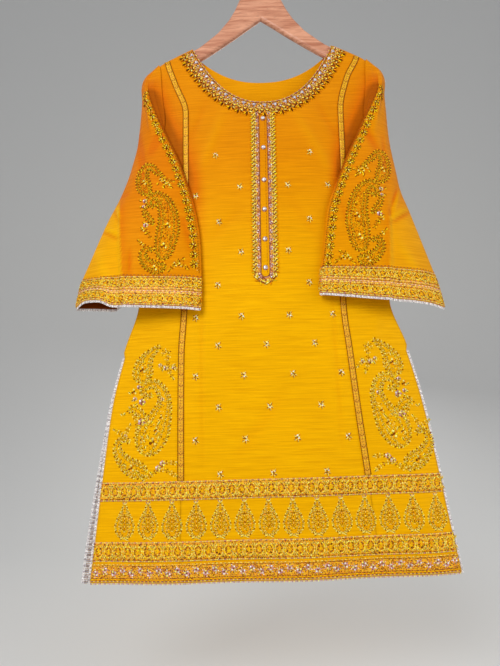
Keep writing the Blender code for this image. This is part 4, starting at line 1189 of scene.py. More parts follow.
SLEEVE_GROUP = {
    "drops": [
        [
            (-19, -44, 0), (-20, -48, 13), (-25, -58, 22), (-29, -73, 20), (-28, -88, 17), (-22, -99, 12),
            (-13, -96, 8), (-4, -86, 6), (8, -75, 1),
        ],
        [
            (7, 74, 0), (8, 68, 18), (10, 58, 27), (12, 44, 31), (16, 24, 34), (17, 4, 30), (14, -16, 26),
            (7, -32, 19), (-4, -41, 12), (-14, -37, 8), (-17, -28, 5), (-11, -21, 3), (-4, -24, 1),
        ],
        [(-8, 12, 0), (-13, 4, 6), (-20, -5, 6), (-24, -15, 4), (-21, -22, 1)],
        [
            (13, 88, 0), (8, 87, 11), (-2, 88, 19), (-13, 83, 17), (-22, 74, 13), (-25, 64, 9),
        (-21, 56, 6),
            (-13, 54, 3), (-9, 58, 1),
        ],
    ],
    "tendrils": [
        [(4, -80), (9, -72), (12, -64), (18, -58)], [(9, -72), (16, -70), (22, -66)],
        [(-31, 41), (-26, 46), (-20, 50)], [(20, 92), (28, 84), (37, 83), (46, 88)],
        [(28, 84), (33, 77), (40, 75)],
        [(-24, 18), (-17, 26), (-13, 36)],
    ],
    "flowers": [
        (10, -66, 5.0, False), (3, -70, 4.0, False), (16, -62, 4.5, False), (-23, -32, 4.5, True),
        (-25, -22, 3.5, True), (-21, 12, 5.0, True), (-26, 20, 4.0, False), (28, 83, 5.0, False),
        (36, 84, 4.5, False),
        (-27, 45, 4.0, False), (10, 50, 6.5, False), (16, 14, 6.0, False), (-26, -68, 5.5, False),
        (-5, 88, 5.5, False),
    ],
    "leaves": [
        ((18, -58), (24, -53)), ((22, -66), (28, -68)), ((12, -64), (7, -57)), ((-31, 41), (-35, 36)),
        ((46, 88), (51, 93)), ((40, 75), (45, 71)), ((20, 92), (15, 96)), ((-24, 18), (-30, 14)),
        ((-21, 12), (-26, 5)), ((-17, 26), (-24, 28)), ((-28, -32), (-34, -36)), ((-27, -24), (-33, -20)),
        ((6, -60), (10, -53)), ((0, -66), (-4, -60)),
    ],
}


def paisley_group(threads, place, group, style):
    """Everything in a group's drawing."""
    for rows in group["drops"]:
        paisley(threads, rows, place, style)
    for points in group["tendrils"]:
        path = place(curve(np.array(points) * MM))
        rope(threads, path, 1.6 * MM, style["line"], style["under"])
        for side in (1, -1):
            leaflets(threads, path, side, 3.4 * MM, 3.6 * MM, 1.7 * MM, style["leaves"])
    for x, down, radius, is_mauve in group["flowers"]:
        petals = [MAUVE, CREAM, PLUM, MAUVE, WHITE] if is_mauve else [YELLOW, CREAM, GOLD, OLIVE]
        at = place([[x * MM, down * MM]])[0]
        flower(threads, at, radius * MM, 7, petals, heart=PLUM if is_mauve else BRONZE)
    for base, tip in group["leaves"]:
        ends = place(np.array([base, tip]) * MM)
        leaf(threads, ends[0], ends[1], 3.8 * MM, style["leaves"])


print("drops in a group:", len(BODY_GROUP["drops"]))

# %% [markdown]
# ## Borders
# A border is first a strip of close gold stitching on the cloth, and then the pattern on it. Stitches alone
# could fill it, but would need ten times as many. So the strip is cloth again, laid on the panel by the same
# surface function, and its finish shows short thread marks: two stretched cell patterns that cross.

# %% Border strips
def border_material(name, stops):
    """stops are the share where each thread colour starts, and the colour."""
    made, tree, shader = new_material(name)
    at = node(tree, "ShaderNodeTexCoord")
    marks = []
    for turn, scale in ((0.6, (620, 1500, 1)), (-0.7, (560, 1300, 1))):
        links = [("Vector", at.outputs["UV"]), ("Rotation", (0, 0, turn)), ("Scale", scale)]
        place = node(tree, "ShaderNodeMapping", links)
        links = [("Vector", place.outputs[0]), ("Scale", 1.0)]
        marks.append(node(tree, "ShaderNodeTexVoronoi", links, voronoi_dimensions="2D"))
    pick = node(tree, "ShaderNodeSeparateColor", [("Color", marks[0].outputs["Color"])])
    feed(tree, shader.inputs, [
        ("Base Color", colour_at(tree, pick.outputs[0], stops, "CONSTANT")),
        ("Normal", raised(tree, marks[1].outputs["Distance"], 0.0003, 0.8, invert=True)),
        ("Roughness", 0.45),
        ("Metallic", 0.2),
    ])
    return made


ORANGE = (0.78, 0.31, 0.004)
BORDER_FINISH = border_material("gold_border", [
    (0.0, BRONZE), (0.10, ORANGE), (0.36, GOLD), (0.60, YELLOW), (0.88, LEMON), (0.95, OLIVE),
])
NECK_FINISH = border_material("neck_ground", [
    (0.0, BRONZE), (0.34, ORANGE), (0.62, GOLD), (0.74, BRONZE), (0.88, YELLOW), (0.97, CREAM),
])
SEAM_FINISH = border_material("seam_ground", [
    (0.0, ORANGE), (0.30, (0.84, 0.38, 0.002)), (0.62, (0.90, 0.45, 0.003)),
])
# Distances of a stitch's or a strip's middle from the middle of the cloth's wall
ON_CLOTH = CLOTH / 2 + 0.00015
STRIP_LIFT = CLOTH / 2 + SEAM_GAP / 2 + BORDER / 2
ON_STRIP = STRIP_LIFT + BORDER / 2 + 0.0001


def strip(name, coords, surface, flat, stands_for, finish=BORDER_FINISH):
    """A border strip through a grid of x and down."""
    points, _ = surface(coords, STRIP_LIFT)
    cloth(name, points, flat, BORDER, FORWARD, finish, stands_for)


# %% [markdown]
# ## Hem
# Three bands run along the front's hem, with a row of drops between the first two. The upper and middle
# bands hold gold flowers between pink lines. The lowest has mauve flowers that step up and down. A loop
# works out how many flowers fit, so that a band always ends on a whole one.

# %% Hem bands
HEM_BANDS = {"upper": (0.775, 0.803), "middle": (0.862, 0.890), "lower": (0.893, 0.918)}
MEDALLION_PITCH = 15 * MM
CLUSTER_STEP = 13.6 * MM
FILL = [YELLOW, SHADOW, GOLD, CREAM, BRONZE, LEMON, GOLD]
BAND_FILL, CLUSTER_FILL = 0.10, 0.12      # loose stitches in a square millimetre
NECK_FILL, FOLD_FILL = 3.4, 0.9           # loose stitches in a millimetre of length


def hem_edges(down):
    return edge_x(-1, down, LACE + SEAM_GAP), edge_x(1, down, LACE + SEAM_GAP)


def medallion(threads, x, middle, across, down):
    """An orange centre in two yellow arcs, which meet at its sides."""
    for size, shade in ((0.52, YELLOW), (0.28, GOLD)):
        heights = np.linspace(-0.6, 0.6, 5) * down * size
        reach = across * size * np.sqrt(1 - np.linspace(-0.75, 0.75, 5) ** 2)
        starts = np.column_stack([x - reach, middle + heights])
        threads.stitch(starts, starts + np.column_stack([reach * 2, heights * 0]), down * 0.24, shade)
    turns = np.linspace(0, 2 * np.pi, 25)
    for size, width, shades in ((0.92, 2.2, [LEMON, CREAM, YELLOW]), (0.62, 1.4, [BRONZE, GOLD, SHADOW])):
        ring = np.array([x, middle]) + compass(turns) * [across * size, down * size]
        chain(threads, ring, width * MM, shades, 2.3 * MM)
    flower(threads, (x, middle), down * 0.26, 5, [YELLOW, OLIVE], heart=BRONZE)


def flower_band(threads, left, right, top, bottom):
    """Medallions side by side, with leaves in the corners between them."""
    middle, inner = (top + bottom) / 2, (bottom - top) / 2 - 3.4 * MM
    loose = int((right - left) * (bottom - top) / MM**2 * BAND_FILL)
    speckle(threads, left, right, top + 2 * MM, bottom - 2 * MM, loose, 3.2 * MM, 1.7 * MM, FILL)
    count = int((right - left) // MEDALLION_PITCH)
    step = (right - left) / count
    for k in range(count):
        x = left + step * (k + 0.5)
        medallion(threads, x, middle, step * 0.46, inner * 0.86)
        for up in (-1, 1):
            base = np.array([x + step / 2, middle + up * inner * 0.30])
            for lean in (-0.30, 0.0, 0.30):
                tip = base + [lean * step, up * inner * 0.68]
                leaf(threads, base, tip, 2.2 * MM, [CREAM, YELLOW, BRONZE])
    for inset, width, shades in ((0.9, 1.7, [MAUVE, CREAM, CREAM]), (2.8, 1.1, [BRONZE, GOLD, BRONZE])):
        for down in (top + inset * MM, bottom - inset * MM):
            chain(threads, straight(left, right, down), width * MM, shades)


def mauve_band(threads, left, right, top, bottom):
    """Mauve clusters that step up and down over gold and brown stitches."""
    loose = int((right - left) * (bottom - top) / MM**2 * CLUSTER_FILL)
    dyes = [GOLD, BRONZE, YELLOW, OLIVE]
    speckle(threads, left, right, top + 2 * MM, bottom - 4 * MM, loose, 2.6 * MM, 1.1 * MM, dyes)
    count = int((right - left) / CLUSTER_STEP)
    for k in range(count):
        x = left + (right - left) * (k + 0.5) / count
        step = (-1 if k % 2 else 1) * 2.2 * MM
        centre = np.array([x, (top + bottom) / 2 + step - 1.4 * MM])
        flower(threads, centre, 4.6 * MM, 7, [MAUVE, WHITE, MAUVE, CREAM], heart=PLUM, turn=k * 0.7)
        for angle in np.linspace(0, 2 * np.pi, 8)[1:] + k:
            way = compass(angle)
            shade = (MAUVE, WHITE, PLUM)[int(angle) % 3]
            threads.stitch(centre + way * 4.4 * MM, centre + way * 6.8 * MM, 1.7 * MM, shade)
        leaf(threads, centre, (x, centre[1] - step * 3.4), 2.8 * MM, [GOLD, CREAM, BRONZE])
    for down, shades, width in (
        (top + 0.9 * MM, [YELLOW, CREAM], 1.5), (top + 2.6 * MM, [BRONZE, OLIVE], 1.1),
        (bottom - 4.9 * MM, [BRONZE, PLUM], 1.1), (bottom - 3.2 * MM, [YELLOW, GOLD], 2.4),
        (bottom - 1.5 * MM, [BRONZE, GOLD], 1.0), (bottom - 0.5 * MM, [MAUVE, CREAM], 1.3),
    ):
        chain(threads, straight(left, right, down), width * MM, shades)


hem_threads = Threads(on_front, ON_STRIP)
for word, (top, bottom) in HEM_BANDS.items():
    downs = np.linspace(top, bottom, 7)
    coords = np.array([
        np.column_stack([np.linspace(*hem_edges(down), 141), np.full(141, down)]) for down in downs
    ])
    strip("hem_band_" + word, coords, on_front, coords * [1, -1], ["hem_border_" + word])
    left, right = hem_edges((top + bottom) / 2)
    work = mauve_band if word == "lower" else flower_band
    work(hem_threads, left + 0.5 * MM, right - 0.5 * MM, top, bottom)

# %% Drops above the hem
DROP_FIRST_X, DROP_PITCH = -0.2745, 0.0367
DROP_MIDDLE = 0.8325
HEM_DROP = [(0, 23.5, 0), (0, 21.5, 14), (0, 16, 24), (0, 8, 28), (0, -4, 21), (0, -15, 9), (0, -25, 1)]
SEED_DROP = [(0, 14, 0), (0, 12, 6), (0, 8, 9), (0, 0, 8), (0, -7, 3), (0, -11, 1)]

DROP_STYLE = {
    "line": [CREAM, LEMON, CREAM], "under": (0.42, 0.16, 0.004), "leaves": [CREAM, LEMON, CREAM, BRONZE],
    "fill": [GOLD, ORANGE, YELLOW, ORANGE, BRONZE, GOLD], "width": 2.2 * MM, "close": 2.5 * MM,
}
SEED_STYLE = dict(DROP_STYLE, line=[YELLOW], close=0)

drop_threads = Threads(on_front, ON_CLOTH)
left, right = hem_edges(DROP_MIDDLE)
for x in DROP_FIRST_X + DROP_PITCH * np.arange(15):
    if not left + 12 * MM < x < right - 6 * MM:
        continue
    place = Place(x, DROP_MIDDLE)
    paisley(drop_threads, HEM_DROP, place, DROP_STYLE, 2.6 * MM, 2.3 * MM)
    paisley(drop_threads, SEED_DROP, place, SEED_STYLE, 1.6 * MM, 2.2 * MM)
    chain(drop_threads, place(np.array([(0, 12), (0, -9)]) * MM), 1.4 * MM, [BRONZE, CREAM])
    for way in (-1, 1):
        foot = place(np.array([(0, 24), (way * 8, 27)]) * MM)
        tip = place(np.array([(0, -24), (way * 3.5, -29)]) * MM)
        leaf(drop_threads, *foot, 3.0 * MM, [CREAM, YELLOW, OLIVE])
        leaf(drop_threads, *tip, 2.4 * MM, [CREAM, MAUVE, OLIVE])

embroider("hem_embroidery", ZARI, "gold_embroidery", [], hem_threads, drop_threads)

# %% [markdown]
# ## Neck and placket
# The border follows the neck's edge, with a row of stones near the edge and fans of leaves outside it. The
# same fans go down both sides of the placket and round its foot. A path and the way out from it turn
# "along, out" into x and down.

# %% Follow a path
NECK_WIDTH = 0.034
NECK_CLEAR, TRIM_CLEAR = 0.0015, 0.002    # kept free below the shoulder line
PLACKET_X = [(0.150, -0.0040), (0.475, -0.0100)]
PLACKET_BOTTOM = 0.470
PLACKET_MIDDLE = 0.0130
PLACKET_COLUMN = 0.0165


def beside(path, way_out):
    """Turns (distance along a path, distance out from it) into x and down. way_out is 1 or -1."""
    path = np.asarray(path, float)
    lengths = arc_lengths(path, 0)
    away = turned(unit(np.gradient(path, axis=0))) * way_out

    def place(coords):
        at = [np.interp(coords[..., 0], lengths, path[:, k]) for k in (0, 1)]
        out = [np.interp(coords[..., 0], lengths, away[:, k]) for k in (0, 1)]
        return np.stack([at[k] + out[k] * coords[..., 1] for k in (0, 1)], -1)

    return place, float(lengths[-1])


def along_grid(length, low, high, columns, rows):
    s, w = np.meshgrid(np.linspace(0, length, columns), np.linspace(low, high, rows))
    return np.stack([s, w], -1)


def leaf_fans(threads, length, base, reach, pitch, count, spread, shades, width=2.4):
    """Fans side by side. base, reach, pitch and width are in millimetres."""
    number = int(length // (pitch * MM))
    for k in range(number):
        spot = (length * (k + 0.5) / number, base * MM)
        fan(threads, spot, np.pi / 2, count, spread, reach * MM, width * MM, shades)


# %% Neck border
neck_x = NECK_HALF * 0.975 * np.sin(np.linspace(-np.pi / 2, np.pi / 2, 121))
neck_path = np.column_stack([neck_x, neck_down(neck_x, FRONT_NECK_DROP)])
neck_place, neck_length = beside(neck_path, 1)


def on_neck(coords, lift):
    place = neck_place(coords)
    place[..., 1] = np.maximum(place[..., 1], shoulder_down(place[..., 0]) + NECK_CLEAR)
    return on_front(place, lift)


STONE_PITCH = 17 * MM
STONE_OUT = 8.0 * MM
FAN_SHADES = [CREAM, BRONZE, GOLD, SHADOW, YELLOW, GOLD, BRONZE]
PALE_FAN = [CREAM, OLIVE, LEMON, GOLD, CREAM, YELLOW, OLIVE]
strip(
    "neck_band", along_grid(neck_length, 0.4 * MM, 0.75 * NECK_WIDTH, 150, 8), on_neck,
    along_grid(neck_length, 0, NECK_WIDTH, 150, 8), ["neck_border"], NECK_FINISH,
)
neck_threads = Threads(on_neck, ON_STRIP)
speckle(
    neck_threads, 0, neck_length, 2 * MM, 27 * MM, int(neck_length / MM * NECK_FILL), 2.8 * MM, 1.2 * MM,
    [GOLD, BRONZE, OLIVE, YELLOW, CREAM, BRONZE],
)
leaf_fans(neck_threads, neck_length, 22, 12, 12.5, 7, 1.25, FAN_SHADES, 2.9)
leaf_fans(neck_threads, neck_length, 15.5, 10, 8.4, 5, 1.0, FAN_SHADES, 2.5)
for out, width, shades in (
    (1.1, 2.0, [MAUVE, CREAM, MAUVE]), (3.1, 1.2, [BRONZE]), (14.6, 1.7, [MAUVE, CREAM, PLUM]),
):
    chain(neck_threads, straight(0, neck_length, out * MM), width * MM, shades)
stone_count = int(neck_length // STONE_PITCH)
stone_spots = []
for k in range(stone_count):
    s = neck_length * (k + 0.5) / stone_count
    stone_spots.append((s, STONE_OUT))
    flower(neck_threads, (s, STONE_OUT), 4.8 * MM, 9, [BRONZE, GOLD, SILVER], heart=WHITE)
    halfway = s + STONE_PITCH / 2
    petals = [MAUVE, CREAM, BRONZE, WHITE]
    flower(neck_threads, (halfway, 10.4 * MM), 3.8 * MM, 6, petals, heart=PLUM, turn=k)
    leaf(neck_threads, (halfway, 7.5 * MM), (halfway, 3.6 * MM), 3.0 * MM, [GOLD, CREAM, OLIVE])

# %% Placket border
def placket_middle(down):
    return value(PLACKET_X, 1, down)


placket_top = FRONT_NECK_DROP + 0.020
inner = PLACKET_MIDDLE / 2
foot = PLACKET_BOTTOM - inner - PLACKET_COLUMN
downs = np.linspace(placket_top, foot, 60)
angles = np.linspace(0, np.pi, 17)[1:-1]
placket_path = np.concatenate([
    np.column_stack([placket_middle(downs) - inner, downs]),
    np.column_stack([placket_middle(foot) - inner * np.cos(angles), foot + inner * np.sin(angles)]),
    np.column_stack([placket_middle(downs[::-1]) + inner, downs[::-1]]),
])
placket_place, placket_length = beside(placket_path, 1)


def on_placket(coords, lift):
    return on_front(placket_place(coords), lift)


strip(
    "placket_band", along_grid(placket_length, 0.2 * MM, 0.75 * PLACKET_COLUMN, 220, 5), on_placket,
    along_grid(placket_length, 0, PLACKET_COLUMN, 220, 5), ["placket_border"], NECK_FINISH,
)
placket_threads = Threads(on_placket, ON_STRIP)
leaf_fans(placket_threads, placket_length, 9.0, 8.6, 8.2, 6, 1.2, PALE_FAN)
leaf_fans(placket_threads, placket_length, 5.6, 6.0, 5.6, 3, 0.8, PALE_FAN, 2.0)
for out, shades, width in ((0.6, [PLUM], 1.1), (2.2, [MAUVE, PLUM, MAUVE], 1.4)):
    chain(placket_threads, straight(0, placket_length, out * MM), width * MM, shades)
for s in np.arange(6 * MM, placket_length, 15 * MM):
    petals = [MAUVE, WHITE, MAUVE]
    flower(placket_threads, (s, 4.6 * MM), 3.6 * MM, 5, petals, heart=PLUM, turn=s * 90)
embroider("neck_embroidery", ZARI, "gold_embroidery", [], neck_threads, placket_threads)

# %% [markdown]
# ## Princess seams
# A narrow gold trim covers each princess seam: two dark lines with small leaves between them, set like the
# bones of a fish. It runs from the shoulder down to the hem's first band, and follows the seam's own curve.

# %% Princess trims
TRIM_TOP, TRIM_BOTTOM = 0.030, 0.7745
TRIM_HALF = 4.6 * MM
TRIM_STEP = 4.4 * MM

trims = []
for side, word in SIDES:
    downs = np.linspace(TRIM_TOP, TRIM_BOTTOM, 150)
    trim_path = np.column_stack([princess_x(side, downs), downs])
    trim_place, trim_length = beside(trim_path, 1)

    def on_trim(coords, lift, place=trim_place):
        spot = place(coords)
        spot[..., 1] = np.maximum(spot[..., 1], shoulder_down(spot[..., 0]) + TRIM_CLEAR)
        return on_front(spot, lift)

    grid = along_grid(trim_length, -TRIM_HALF, TRIM_HALF, 180, 4)
    strip("princess_band_" + word, grid, on_trim, grid, ["princess_trim_" + word], SEAM_FINISH)
    threads = Threads(on_trim, ON_STRIP)
    for out in (-TRIM_HALF, TRIM_HALF):
        chain(threads, straight(0, trim_length, out), 1.5 * MM, [BRONZE, (0.10, 0.03, 0.003), BRONZE])
    spots = np.arange(3 * MM, trim_length - 3 * MM, TRIM_STEP)
    for way in (-1, 1):
        base = np.column_stack([spots, np.full(len(spots), way * 0.4 * MM)])
        tip = np.column_stack([spots - 3.4 * MM, np.full(len(spots), way * 3.6 * MM)])
        threads.stitch(base, tip, 1.4 * MM, [YELLOW, OLIVE, LEMON, YELLOW])
    bone = np.column_stack([spots, spots * 0])
    threads.stitch(bone - [1 * MM, 0], bone + [1 * MM, 0], 1.2 * MM, [OLIVE])
    trims.append(threads)

# %% [markdown]
# ## Paisleys on the side panels
# One group of four drops, with tendrils, flowers and leaves, sits above the hem on each side panel. It is
# drawn once, in millimetres. The right group is the left one turned over, as an embroiderer would do it.

# %% Side groups
LEFT_GROUP = Place(-0.2117, 0.667, 1.0, 1.0, -0.02)
RIGHT_GROUP = Place(0.1958, 0.6655, -0.97, 1.0, 0.10)
side_threads = Threads(on_front, ON_CLOTH)
for place in (LEFT_GROUP, RIGHT_GROUP):
    paisley_group(side_threads, place, BODY_GROUP, BRIGHT)

# %% [markdown]
# ## Sprigs
# Small sprigs, called buttis, are strewn over the front in a half-drop pattern: each row sits between the
# sprigs of the next. Their rows are listed, because the hand that set them wasn't quite even.

# %% Sprig pattern
# Each row: down, then the x of its sprigs, in millimetres
SPRIG_ROWS = [
    (229, (-89, 75)), (290, (-48, 34, 103)), (303, (-124,)), (353, (-85, 68)), (408, (-49, 30)),
    (464, (-89, 62)),
    (518, (-126, -51, 27, 98)), (565, (-90, -12, 66)), (614, (-127, -50, 29, 106)), (664, (-91, -10, 71)),
    (714, (-128, -50, 31, 111)), (766, (-90, -8, 74)),
]
SPRIG_TIPS = ((-6.0, 4.5), (6.0, 5.0), (0.5, 8.5), (-4.5, -5.0), (4.5, -5.5))
sprig_threads = Threads(on_front, ON_CLOTH)
sprigs = 0
for down, xs in SPRIG_ROWS:
    for x in xs:
        at = np.array([x, down]) * MM
        flower(sprig_threads, at, 4.4 * MM, 6, [CREAM, WHITE, YELLOW, OLIVE], heart=BRONZE, turn=x)
        for tip in SPRIG_TIPS:
            ends = at + np.array([(0, 1.5), tip]) * MM
            leaf(sprig_threads, *ends, 2.8 * MM, [GOLD, CREAM, BRONZE])
        sprigs += 1
embroider("front_embroidery", ZARI, "gold_embroidery", [], *trims, side_threads, sprig_threads)
print("sprigs:", sprigs)

# %% [markdown]
# ## Sleeve work
# The sleeves turn in space, so their stitches are laid another way. Rays that run straight back from the
# viewer's side find the cloth, and each stitch lies where its ray lands. The cuff's bands go all round the
# sleeve, so they follow the sleeve's own grid instead.

# %% Find the cloth with rays
RAY_START = -0.5


def seen_from_front(piece):
    """A surface function for the side of a piece that faces the viewer."""
    tree = BVHTree.FromObject(piece, bpy.context.evaluated_depsgraph_get())

    def surface(coords, lift):
        points, normals = [], []
        for x, down in coords.reshape(-1, 2):
            start = Vector((x, RAY_START, SHOULDER_Z - down))
            spot, normal, _, _ = tree.ray_cast(start, Vector(BACKWARD))
            if spot is None:
                spot, normal, _, _ = tree.find_nearest(Vector((x, -0.03, SHOULDER_Z - down)))
            if normal.y > 0:
                normal = -normal
            points.append(spot + normal * (lift - CLOTH / 2))
            normals.append(normal)
        shape = coords.shape[:-1] + (3,)
        return np.array(points).reshape(shape), np.array(normals).reshape(shape)

    return surface


def on_grid(points, normals, across, along):
    """A surface function that follows a grid. across and along are the metres at its columns and rows."""
    def surface(coords, lift):
        column = np.interp(coords[..., 0], across, np.arange(len(across)))
        row = np.interp(coords[..., 1], along, np.arange(len(along)))
        c = np.clip(np.floor(column).astype(int), 0, len(across) - 2)
        r = np.clip(np.floor(row).astype(int), 0, len(along) - 2)
        u, v = (column - c)[..., None], (row - r)[..., None]

        def blend(grid):
            upper = grid[r, c] * (1 - u) + grid[r, c + 1] * u
            lower = grid[r + 1, c] * (1 - u) + grid[r + 1, c + 1] * u
            return upper * (1 - v) + lower * v

        normal = unit(blend(normals))
        return blend(points) + normal * lift, normal

    return surface


# %% Sleeve borders and paisleys
CUFF_BANDS = ((0.6 * MM, 21.0 * MM), (26.0 * MM, 45.0 * MM))   # above the cuff's edge
CUFF_LINES = (22.6 * MM, 24.6 * MM, 47.0 * MM)
FOLD_TRIM_TOP, FOLD_TRIM_BOTTOM = 0.092, 0.448
CLUSTER_PITCH = 16.5 * MM
CLUSTER_OUT = 9.6 * MM
SLEEVE_PLACES = {-1: Place(-0.185, 0.350), 1: Place(0.164, 0.341, -1.0, 1.06, -0.12)}

CUFF_ROWS = 6 * FINER_DOWN

for side, word in SIDES:
    piece, points, normals = sleeves[side]
    bpy.context.view_layer.update()
    facing = seen_from_front(piece)
    group_threads = Threads(facing, ON_CLOTH)
    paisley_group(group_threads, SLEEVE_PLACES[side], SLEEVE_GROUP, DARK)

    rows = np.array(SLEEVE_ROWS[side])
    downs = np.linspace(FOLD_TRIM_TOP, FOLD_TRIM_BOTTOM, 80)
    fold_path = np.column_stack([np.interp(downs, rows[:, 2], rows[:, 3]), downs])
    fold_place, fold_length = beside(fold_path, 1 if side < 0 else -1)

    def on_fold(coords, lift, place=fold_place, surface=facing):
        return surface(place(coords), lift)

    fold_threads = Threads(on_fold, ON_CLOTH)
    rope(fold_threads, straight(0, fold_length, 2.6 * MM), 2.0 * MM, [YELLOW, GOLD, GOLD], BRONZE)
    speckle(
        fold_threads, 0, fold_length, 4 * MM, 14 * MM, int(fold_length / MM * FOLD_FILL), 3.0 * MM, 1.3 * MM,
        [GOLD, BRONZE, LEMON, YELLOW, CREAM],
    )
    for k in range(int(fold_length // CLUSTER_PITCH)):
        s = (k + 0.5) * CLUSTER_PITCH
        start = np.array([s, CLUSTER_OUT])
        for number, angle in enumerate(np.linspace(0, 2 * np.pi, 10)[:-1] + 0.4 * k):
            way = compass(angle)
            reach = 8.6 * MM * (1.0 if way[1] > -0.3 else 0.72)
            shades = (DARK["leaves"], [BRONZE, SHADOW, LEMON])[number % 2]
            leaf(fold_threads, start + way * 2.8 * MM, start + way * reach, 3.6 * MM, shades)
        flower(fold_threads, start, 4.4 * MM, 7, [BRONZE, LEMON, SHADOW, CREAM], heart=BRONZE, turn=k)

    cuff = points[-CUFF_ROWS:]
    across = arc_lengths(cuff[CUFF_ROWS // 3][None], 1)[0]
    along = arc_lengths(cuff.mean(1)[:, None], 0)[:, 0]
    along = along - along[-1]
    around = on_grid(cuff, normals[-CUFF_ROWS:], across, along)
    cuff_strip = along_grid(across[-1], -CUFF_BANDS[1][1], -CUFF_BANDS[0][0], 120, 10)
    strip("cuff_band_" + word, cuff_strip, around, cuff_strip, ["cuff_border_" + word])
    cuff_threads = Threads(around, ON_STRIP)
    for low, high in CUFF_BANDS:
        flower_band(cuff_threads, 1 * MM, across[-1] - 1 * MM, -high, -low)
    for out, shades in zip(CUFF_LINES, ([WHITE, MAUVE], [PLUM, BRONZE], [PLUM, GOLD])):
        chain(cuff_threads, straight(0, across[-1], -out), 1.2 * MM, shades)
    embroider(
        "sleeve_embroidery_" + word, ZARI, "gold_embroidery", ["sleeve_trim_" + word],
        group_threads, fold_threads, cuff_threads,
    )

# %% [markdown]
# ## Lace
# A narrow grey-white lace finishes the slits and the cuffs: two cords, bars that lean between them, and a
# row of small loops along the outer cord. Along the hem the edge has only a thin pink cord. Lace could be a
# strip with a pattern of holes, but real cords catch the light at the garment's outline.

# %% Lace
LACE_INNER, LACE_OUTER = 0.8 * MM, 3.3 * MM
LACE_BAR = 2.4 * MM
SLIT_LACE, INNER_LACE = 2.5 * MM, 8.0 * MM
LACE_DYES = [colour(236, 230, 226), colour(252, 250, 248), colour(186, 176, 178), colour(244, 240, 236)]
LACE_GROUND = [colour(214, 206, 204), colour(176, 166, 168), colour(236, 230, 226)]
EDGE_DYES = [MAUVE, CREAM, colour(224, 190, 176)]


def lace(threads, length, inward=0.0):
    """Lace along a path, in (distance along, distance out). Its cords reach inward onto the cloth."""
    for out in np.arange((LACE_INNER + LACE_OUTER) / 2, -inward - MM, -2.0 * MM):
        chain(threads, straight(0, length, out), 3.2 * MM, LACE_GROUND, 2.6 * MM)
    for out in (LACE_INNER, LACE_OUTER):
        chain(threads, straight(0, length, out), 1.5 * MM, LACE_DYES, 2.2 * MM)
    spots = np.arange(0, length - LACE_BAR, LACE_BAR)
    low = np.column_stack([spots, np.full(len(spots), LACE_INNER)])
    high = np.column_stack([spots + LACE_BAR, np.full(len(spots), LACE_OUTER)])
    threads.stitch(low, high, 1.5 * MM, LACE_DYES)
    threads.stitch(low + [LACE_BAR, 0], high - [LACE_BAR, 0], 1.5 * MM, LACE_DYES)
    threads.stitch(high - [0.8 * MM, -0.5 * MM], high + [0.8 * MM, 0.5 * MM], 1.5 * MM, LACE_DYES)


def cord(threads, length):
    """The thin pink cord of the hem."""
    for out, width in ((0.7 * MM, 1.4 * MM), (1.9 * MM, 1.2 * MM)):
        chain(threads, straight(0, length, out), width, EDGE_DYES, 2.4 * MM)


def slit_line(side, lean):
    """Down a slit, at the panels' edge."""
    downs = np.linspace(SLIT_TOP + SLIT_STEP, HEM + 1.5 * MM, 90)
    xs = edge_x(side, downs, LACE + SEAM_GAP) + lean * ramp(downs, SLIT_TOP, HEM)
    return np.column_stack([xs, downs])


def on_back(coords, lift):
    x, down = coords[..., 0], coords[..., 1]
    normal = front_normal(x, down) * np.array([1.0, -1.0, 1.0])
    return back_point(x, down) + normal * lift, normal


def inside_back(coords, lift):
    """The back's inner face, which shows beside the front's edge."""
    points, normal = on_back(coords, 0.0)
    return points - normal * (CLOTH + lift), -normal


def on_path(surface, path, way_out):
    """A surface function in (distance along, distance out) from a path, and the path's length."""
    place, length = beside(path, way_out)

    def put(coords, lift):
        return surface(place(coords), lift)

    return put, length


for word, surface, lean in (("front", on_front, 0.0), ("back", on_back, BACK_SHIFT)):
    parts = []
    for side in (-1, 1):
        put, length = on_path(surface, slit_line(side, lean), -side)
        parts.append(Threads(put, 0.0))
        lace(parts[-1], length, SLIT_LACE if side < 0 else 0.0)
        if word == "back":
            put, length = on_path(inside_back, slit_line(side, lean), -side)
            parts.append(Threads(put, 0.0))
            lace(parts[-1], length, INNER_LACE)
    ends = [slit_line(side, lean)[-1, 0] for side in (-1, 1)]
    bottom = np.column_stack([np.linspace(*ends, 140), np.full(140, HEM)])
    put, length = on_path(surface, bottom, 1)
    parts.append(Threads(put, 0.0))
    cord(parts[-1], length)
    embroider(word + "_lace", COTTON, "edging_lace", [word + "_edging"], *parts)

for side, word in SIDES:
    _, points, normals = sleeves[side]
    edge = points[-1]
    out = np.linspace(0, LACE + 1.5 * MM, 4)
    below = edge[None] + out[:, None, None] * np.array([0, 0, -1.0])
    across = arc_lengths(edge[None], 1)[0]
    threads = Threads(on_grid(below, np.repeat(normals[-1:], 4, 0), across, out), 0.0)
    lace(threads, across[-1])
    embroider("cuff_lace_" + word, COTTON, "edging_lace", ["cuff_edging_" + word], threads)

# %% [markdown]
# ## Stones
# Cut glass stones sit in the neck's border, and six more close the placket. Each is a low dome with flat
# cuts: a sphere with few segments, pressed flat, then shaded flat so that each cut catches the light.

# %% Stones
STONE_RADIUS = 3.0 * MM
STONE_HEIGHT = 1.7 * MM
BUTTONS = [0.160, 0.219, 0.281, 0.335, 0.388, 0.438]
BUTTON_RADIUS = 3.6 * MM
NECK_STONE_LIFT, BUTTON_LIFT = 0.8 * MM, 1.2 * MM


